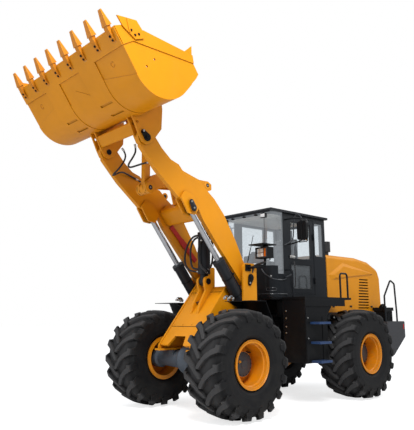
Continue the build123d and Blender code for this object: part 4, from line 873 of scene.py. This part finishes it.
finishes["seat_cloth"] = seat_cloth()
parts = (("seat_cushion", cushion(0.53, 0.48, 0.15, 0.03, 0.01), (-1.073, 0, SEAT_TOP - 0.06), 0),
         ("seat_back", cushion(0.52, 0.65, 0.125, 0.022, 0.01), (-1.303, 0, 2.735), 90),
         ("seat_headrest", cushion(0.27, 0.2, 0.11, 0.015, 0.0), (-1.3, 0, 3.15), 90))
for name, bm, at, lean in parts:
    place = Matrix.Translation(at) @ Matrix.Rotation(math.radians(lean), 4, "Y")
    bmesh.ops.transform(bm, matrix=place, verts=bm.verts)
    pad = finished(name, bm, "rear_body", "seat_cloth", 80.0)
    soft = pad.modifiers.new("soft", "SUBSURF")
    soft.levels = soft.render_levels = 1
posts = [[(-1.3, y, 3.02), (-1.3, y, 3.1)] for y in (-0.06, 0.06)]
on_rear("headrest_posts", bars(posts, 0.009), "bolt_steel")
print("cushions:", len(parts))

# %% Headliner, console, levers and pedals
LINER_Z = 3.386
liner = boxes(((1.56, 1.14, 0.014), 0.006, (-0.925, 0, LINER_Z)),
              ((0.3, 0.8, 0.03), 0.012, (-0.42, 0, 3.366)))
on_rear("headliner", liner, "headliner")
console = boxes(((0.62, 0.15, 0.5), 0.03, (-1.02, -0.375, 2.17)),
                ((0.5, 0.17, 0.06), 0.025, (-1.0, -0.375, 2.47)),
                ((0.36, 0.1, 0.06), 0.02, (-1.05, 0.345, 2.56)),
                ((0.05, 0.05, 0.3), 0.01, (-1.16, 0.33, 2.4)))
on_rear("side_consoles", console, "trim_grey")
knob = [(0.0, 0.05), (0.013, 0.045), (0.02, 0.025), (0.016, 0.004), (0.01, 0.0), (0.0, 0.0)]
levers = []
for y in (-0.34, -0.41):
    levers.append(bar([(-0.86, y, 2.49), (-0.85, y, 2.6)], 0.008))
    levers.append(stamped(turned(knob, 20), [facing((-0.85, y, 2.6), (0, 0, 1))]))
on_rear("control_levers", joined(*levers))
dash = boxes(((0.16, 0.44, 0.14), 0.03, (-0.335, 0, 2.6)), ((0.05, 0.3, 0.12), 0.015, (-0.43, 0, 2.7)))
on_rear("dash_panel", dash)
pedals = boxes(*[((0.1, 0.075, 0.018), 0.006, (-0.36, y, 2.02)) for y in (-0.2, 0.2)])
on_rear("pedals", pedals)
print("headliner under the roof at", LINER_Z)

# %% [markdown]
# ## Outside the cab
# The lower shell has an outlined slot, a swept moulding along the pane's foot and a rail near its sill. Black
# rubber seals frame the panes, a bright lever opens the door, and bent rails help the driver up. These are
# thin, so each is a smooth bar or a rounded box laid on the panel.

# %% Seals, mouldings, wiper, handle and rails
FACE_X, FACE_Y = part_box("cab_shell")[1].x, 0.64
CORNER_X, CORNER_Y, CORNER_R = FACE_X - 0.17, 0.47, 0.172
SIDE_Y, FRONT_X_OUT = FACE_Y + 0.004, FACE_X + 0.003
SLOT_TOP, SLOT_FOOT, SILL_Z = 2.035, 1.983, 1.925


def around_corner(angle, z, out=0.002):
    """A point on the shell's round left front corner: 0 faces the front, 90 faces the side."""
    turn = math.radians(angle)
    return (CORNER_X + (CORNER_R + out) * math.cos(turn), CORNER_Y + (CORNER_R + out) * math.sin(turn), z)


slot = [(12, SLOT_TOP), (40, SLOT_TOP), (68, SLOT_TOP), (72, 2.02), (72, 1.998), (68, SLOT_FOOT),
        (40, SLOT_FOOT), (12, SLOT_FOOT), (8, 1.998), (8, 2.02), (12, SLOT_TOP)]
sills = both_sides((FRONT_X_OUT, 0.24, SILL_Z), *[around_corner(angle, SILL_Z) for angle in (0, 30, 60, 90)],
                   (-0.5, SIDE_Y, SILL_Z))
slots = both_sides(*[around_corner(angle, z) for angle, z in slot])
trims = [bar(points, radius) for pair in zip(sills, slots) for points, radius in zip(pair, (0.01, 0.006))]
on_rear("shell_mouldings", joined(*trims), "trim_black")
turn = math.radians(40)
x, y, z = around_corner(40, 2.245, 0.0)
spots = [facing((x, side * y, z), (math.cos(turn), side * math.sin(turn), 0)) for side in SIDES]
bolts("shell_plugs", 0.014, spots, "rear_body")
swoop = both_sides((FRONT_X_OUT, 0.395, 2.38), (FRONT_X_OUT, 0.44, 2.31), around_corner(20, 2.245),
                   around_corner(50, 2.195), around_corner(85, 2.18), (-0.38, SIDE_Y, 2.18),
                   (-0.47, SIDE_Y, 2.195), (-0.53, SIDE_Y, 2.26))
on_rear("pane_foot_mouldings", bars(swoop, 0.012), "trim_black")
frames = both_sides(*[(x, 0.632, z) for x, z in rectangle((-1.668, 2.677), (-1.403, 3.337))])
posts = [[(-0.111, y, 2.44), (-0.111, y, 3.4)] for y in (-0.466, 0.466)]
on_rear("pane_seals", joined(bars(frames, 0.008, 2), bars(posts, 0.005, 2)))
low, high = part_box("door_glass")
nodes["door_glass"].data.materials[0] = door_pane
loop = [(x, high.y + 0.004, z) for x, z in rectangle((low.x, low.z), (high.x, high.z))]
finished("door_pane_seal", bar(loop, 0.009, 2), "door", "plastic_black")
liner = rounded_box((high.x - low.x - 0.02, 0.004, 0.48), 0.0015,
                    ((low.x + high.x) / 2, low.y - 0.006, low.z + 0.255))
finished("door_liner", liner, "door", "plastic_black")
handle = boxes(((0.15, 0.012, 0.05), 0.005, (-0.68, 0.65, 2.62)),
               ((0.115, 0.014, 0.02), 0.005, (-0.69, 0.668, 2.622)),
               ((0.02, 0.024, 0.024), 0.005, (-0.64, 0.66, 2.622)))
finished("door_handle", handle, "door", "bolt_steel")
pull = [(-0.7, 0.662, 2.05), (-0.7, 0.69, 2.08), (-0.7, 0.69, 2.5), (-0.7, 0.662, 2.53)]
finished("door_inner_rail", bar(pull, 0.01), "door", "plastic_black")
rails = both_sides((-0.455, 0.65, 2.23), (-0.455, 0.735, 2.245), (-0.54, 0.74, 2.3),
                   (-0.56, 0.74, 2.18), (-0.56, 0.74, 1.99), (-0.56, 0.69, 1.87))
on_rear("grab_rails", bars(rails, 0.013), "trim_black")
hub = turned([(0.0, 0.02), (0.018, 0.018), (0.024, 0.0), (0.0, 0.0)], 20)
wiper = joined(bar([(-0.1, 0.02, 2.425), (-0.088, 0.03, 2.5), (-0.092, 0.13, 2.78)], 0.006),
               bar([(-0.098, 0.06, 2.55), (-0.098, 0.2, 3.02)], 0.006, 2),
               stamped(hub, [facing((-0.105, 0.02, 2.42), (1, 0, 0))]))
on_rear("wiper", wiper)
print("mouldings:", len(trims))

# %% Work lamps and mirrors
lamp_rows, glass_rows = [], []
for y in (-0.5, 0.5):
    lamp_rows.append(((0.06, 0.125, 0.085), 0.012, (-0.06, y, 3.352)))
    lamp_rows.append(((0.016, 0.03, 0.05), 0.004, (-0.055, y, 3.395)))
    glass_rows.append(((0.008, 0.1, 0.062), 0.003, (-0.029, y, 3.352)))
lamp_rows += [((0.05, 0.05, 0.032), 0.006, (-0.072, y, 3.388)) for y in (-0.3, 0.0, 0.3)]
on_rear("roof_lamps", boxes(*lamp_rows))
on_rear("roof_lamp_lenses", boxes(*glass_rows), "lens_pale")
low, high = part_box("mirrors")
middle, rim_x = ((low.z + high.z) / 2 - 0.01), low.x + 0.012
rims = both_sides(*[(rim_x, y, z) for y, z in rectangle((0.905, middle - 0.2), (1.095, middle + 0.2))])
on_rear("mirror_rims", bars(rims, 0.009, 2), "trim_black")
brackets = both_sides((-0.45, 0.65, 2.825), (-0.5, 0.74, 2.86), (-0.56, 0.78, 2.93),
                      (-0.56, 0.79, 3.18), (-0.55, 0.83, 3.36), (-0.535, 0.93, 3.395),
                      (-0.535, 1.0, 3.3))
on_rear("mirror_brackets", bars(brackets, 0.012), "trim_black")
glasses = boxes(*[((0.004, 0.15, 0.36), 0.0015, (low.x - 0.001, side * 1.0, middle)) for side in SIDES])
on_rear("mirror_glasses", glasses, "mirror_silver")
print("mirrors at", round(low.x, 3))

# %% [markdown]
# ## Hood, nose and deck
# Behind the hood's louvres sit dark radiator screens, without which daylight would shine through the slots.
# The nose cover carries a handle and a bolted lid, and the side tanks are held by bolts.

# %% Radiator screens, hood latches, nose lid and tank bolts
def screen_mesh():
    """A dark radiator screen: a fine grid of fins with dust between them."""
    f = Finish("radiator_screen")
    fins, tubes = (f.part(2) * 420.0).wave(), (f.part(0) * 260.0).wave()
    base = f.mix((fins * tubes).between(-0.3, 0.8), (0.006, 0.006, 0.007), (0.03, 0.03, 0.031))
    return f.shade(Base_Color=base, Roughness=0.6, Normal=f.bumps(fins, 0.003, 0.6))


finishes["radiator_screen"] = screen_mesh()
HOOD_Y = 0.62
screens = [((0.9, 0.012, 0.86), 0.003, (-3.18, side * 0.56, 2.06)) for side in SIDES]
screens.append(((0.012, 0.9, 0.78), 0.003, (-3.62, 0.0, 2.02)))
on_rear("radiator_screens", boxes(*screens), "radiator_screen")
latches = []
for side in SIDES:
    for x in (-1.98, -2.6, -3.4):
        latches.append(((0.075, 0.014, 0.034), 0.004, (x, side * (HOOD_Y + 0.004), 1.72)))
        latches.append(((0.022, 0.024, 0.02), 0.004, (x + 0.02, side * (HOOD_Y + 0.008), 1.72)))
on_rear("hood_latches", boxes(*latches))

NOSE_HIGH, NOSE_LOW = Vector((0.832, 0.0, 2.037)), Vector((1.617, 0.0, 1.077))
nose_way = (NOSE_LOW - NOSE_HIGH).normalized()
nose_out = Vector((-nose_way.z, 0.0, nose_way.x))


def on_nose(along, y, out=0.0):
    """A point on the sloping nose cover, so far down from its top edge."""
    return NOSE_HIGH + nose_way * along + nose_out * out + Vector((0, y, 0))


GRIP_AT, GRIP_Y, GRIP_OUT = 0.375, 0.075, 0.045
grip = bar([on_nose(GRIP_AT, y, out) for y, out in
            ((-GRIP_Y, 0.0), (-GRIP_Y, GRIP_OUT), (GRIP_Y, GRIP_OUT), (GRIP_Y, 0.0))], 0.01)
pads = [facing(on_nose(GRIP_AT, y, 0.0), nose_out) for y in (-GRIP_Y, GRIP_Y)]
pad = turned([(0.0, 0.006), (0.02, 0.006), (0.022, 0.003), (0.022, 0.0), (0.0, 0.0)], 20)
finished("nose_handle", joined(grip, stamped(pad, pads)), "front_body", "plastic_black")
seams = [[on_nose(along, -0.375, 0.001), on_nose(along, 0.375, 0.001)] for along in (0.12, 0.86)]
finished("nose_seams", bars(seams, 0.004, 2), "front_body", "dark_steel")
spots = [facing(on_nose(along, y), nose_out) for along in (0.16, 0.82) for y in (-0.33, -0.11, 0.11, 0.33)]
bolts("nose_bolts", 0.011, spots, "front_body", "body_yellow")

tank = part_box("side_tanks")[1]
spots = [facing((tank.x, side * 0.71, z), (1, 0, 0)) for side in SIDES for z in (1.619, 1.494, 1.346, 1.237)]
spots += [facing((x, side * tank.y, z), (0, side, 0)) for side in SIDES for x in (-0.43, -1.22)
          for z in (1.15, 1.5)]
bolts("tank_bolts", 0.014, spots, "rear_body")
low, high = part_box("counterweight")
reflectors = [((0.035, 0.008, 0.11), 0.003, (low.x + 0.06, side * (high.y + 0.003), 1.29))
              for side in SIDES]
on_rear("side_reflectors", boxes(*reflectors), "reflector_red")
print("nose cover runs", round((NOSE_LOW - NOSE_HIGH).length, 3), "m")

# %% [markdown]
# ## Floor and light
# The machine stands on a plain pale floor under a soft studio sky. The world is what lights it from all
# round, one large lamp over the front left gives the forms a lit side, and the background seen by the lens
# and through glass is plain white.


# %% Sky, lamps and floor
def sky(light):
    """A world that is white to the lens and through glass, and a soft light for the rest."""
    f = Finish("studio", "worlds")
    lens, glass = [f.value("LightPath", output=f"Is {ray} Ray") for ray in ("Camera", "Transmission")]
    seen = lens.maths("MAXIMUM", lens, glass)
    lit = f.node("Background", {"Color": (0.93, 0.96, 1.0), "Strength": light})
    white = f.node("Background", {"Color": (1, 1, 1), "Strength": 1.0})
    bpy.context.scene.world = f.surface(f.both(lit, white, seen), "OutputWorld")


def lamp(name, at, target, size, share):
    """A square soft box that adds a share of full light to a surface that faces it."""
    data = bpy.data.lights.new(name, "AREA")
    reach = Vector(target) - Vector(at)
    data.size, data.energy = size, share * math.pi ** 2 * reach.length_squared
    made = bpy.data.objects.new(name, data)
    made.matrix_world = Matrix.Translation(at) @ reach.to_track_quat("-Z", "Y").to_matrix().to_4x4()
    bpy.context.scene.collection.objects.link(made)


FLOOR_GLOW = 0.72


def floor():
    """A wide pale floor that keeps the machine's soft shadow."""
    bm = bmesh.new()
    bmesh.ops.create_circle(bm, cap_ends=True, segments=64, radius=70.0)
    mesh = bpy.data.meshes.new("floor")
    bm.to_mesh(mesh)
    f = Finish("floor_white")
    speck = f.noise(2.0, 3.0).between(0.3, 0.7)
    pale = f.mix(speck, (0.8, 0.8, 0.8), (0.81, 0.81, 0.81))
    lit = f.node("BsdfDiffuse", {"Color": pale})
    seen = f.value("LightPath", output="Is Camera Ray")
    glow = f.node("Emission", {"Color": (1, 1, 1), "Strength": seen * FLOOR_GLOW})
    mesh.materials.append(f.surface(f.both(lit, glow)))
    made = bpy.data.objects.new("floor", mesh)
    bpy.context.scene.collection.objects.link(made)


bpy.context.scene.view_settings.view_transform = "Standard"
sky(0.5)
lamp("key", (5.5, 6.0, 9.5), (0.0, 0.0, 1.6), 4.0, 0.7)
lamp("fill", (9.0, -3.0, 4.0), (0.5, 0.0, 2.0), 5.0, 0.1)
lamp("back", (-7.0, 4.0, 7.0), (-1.0, 0.0, 1.5), 4.0, 0.18)
floor()
print("lamps:", len(bpy.data.lights))
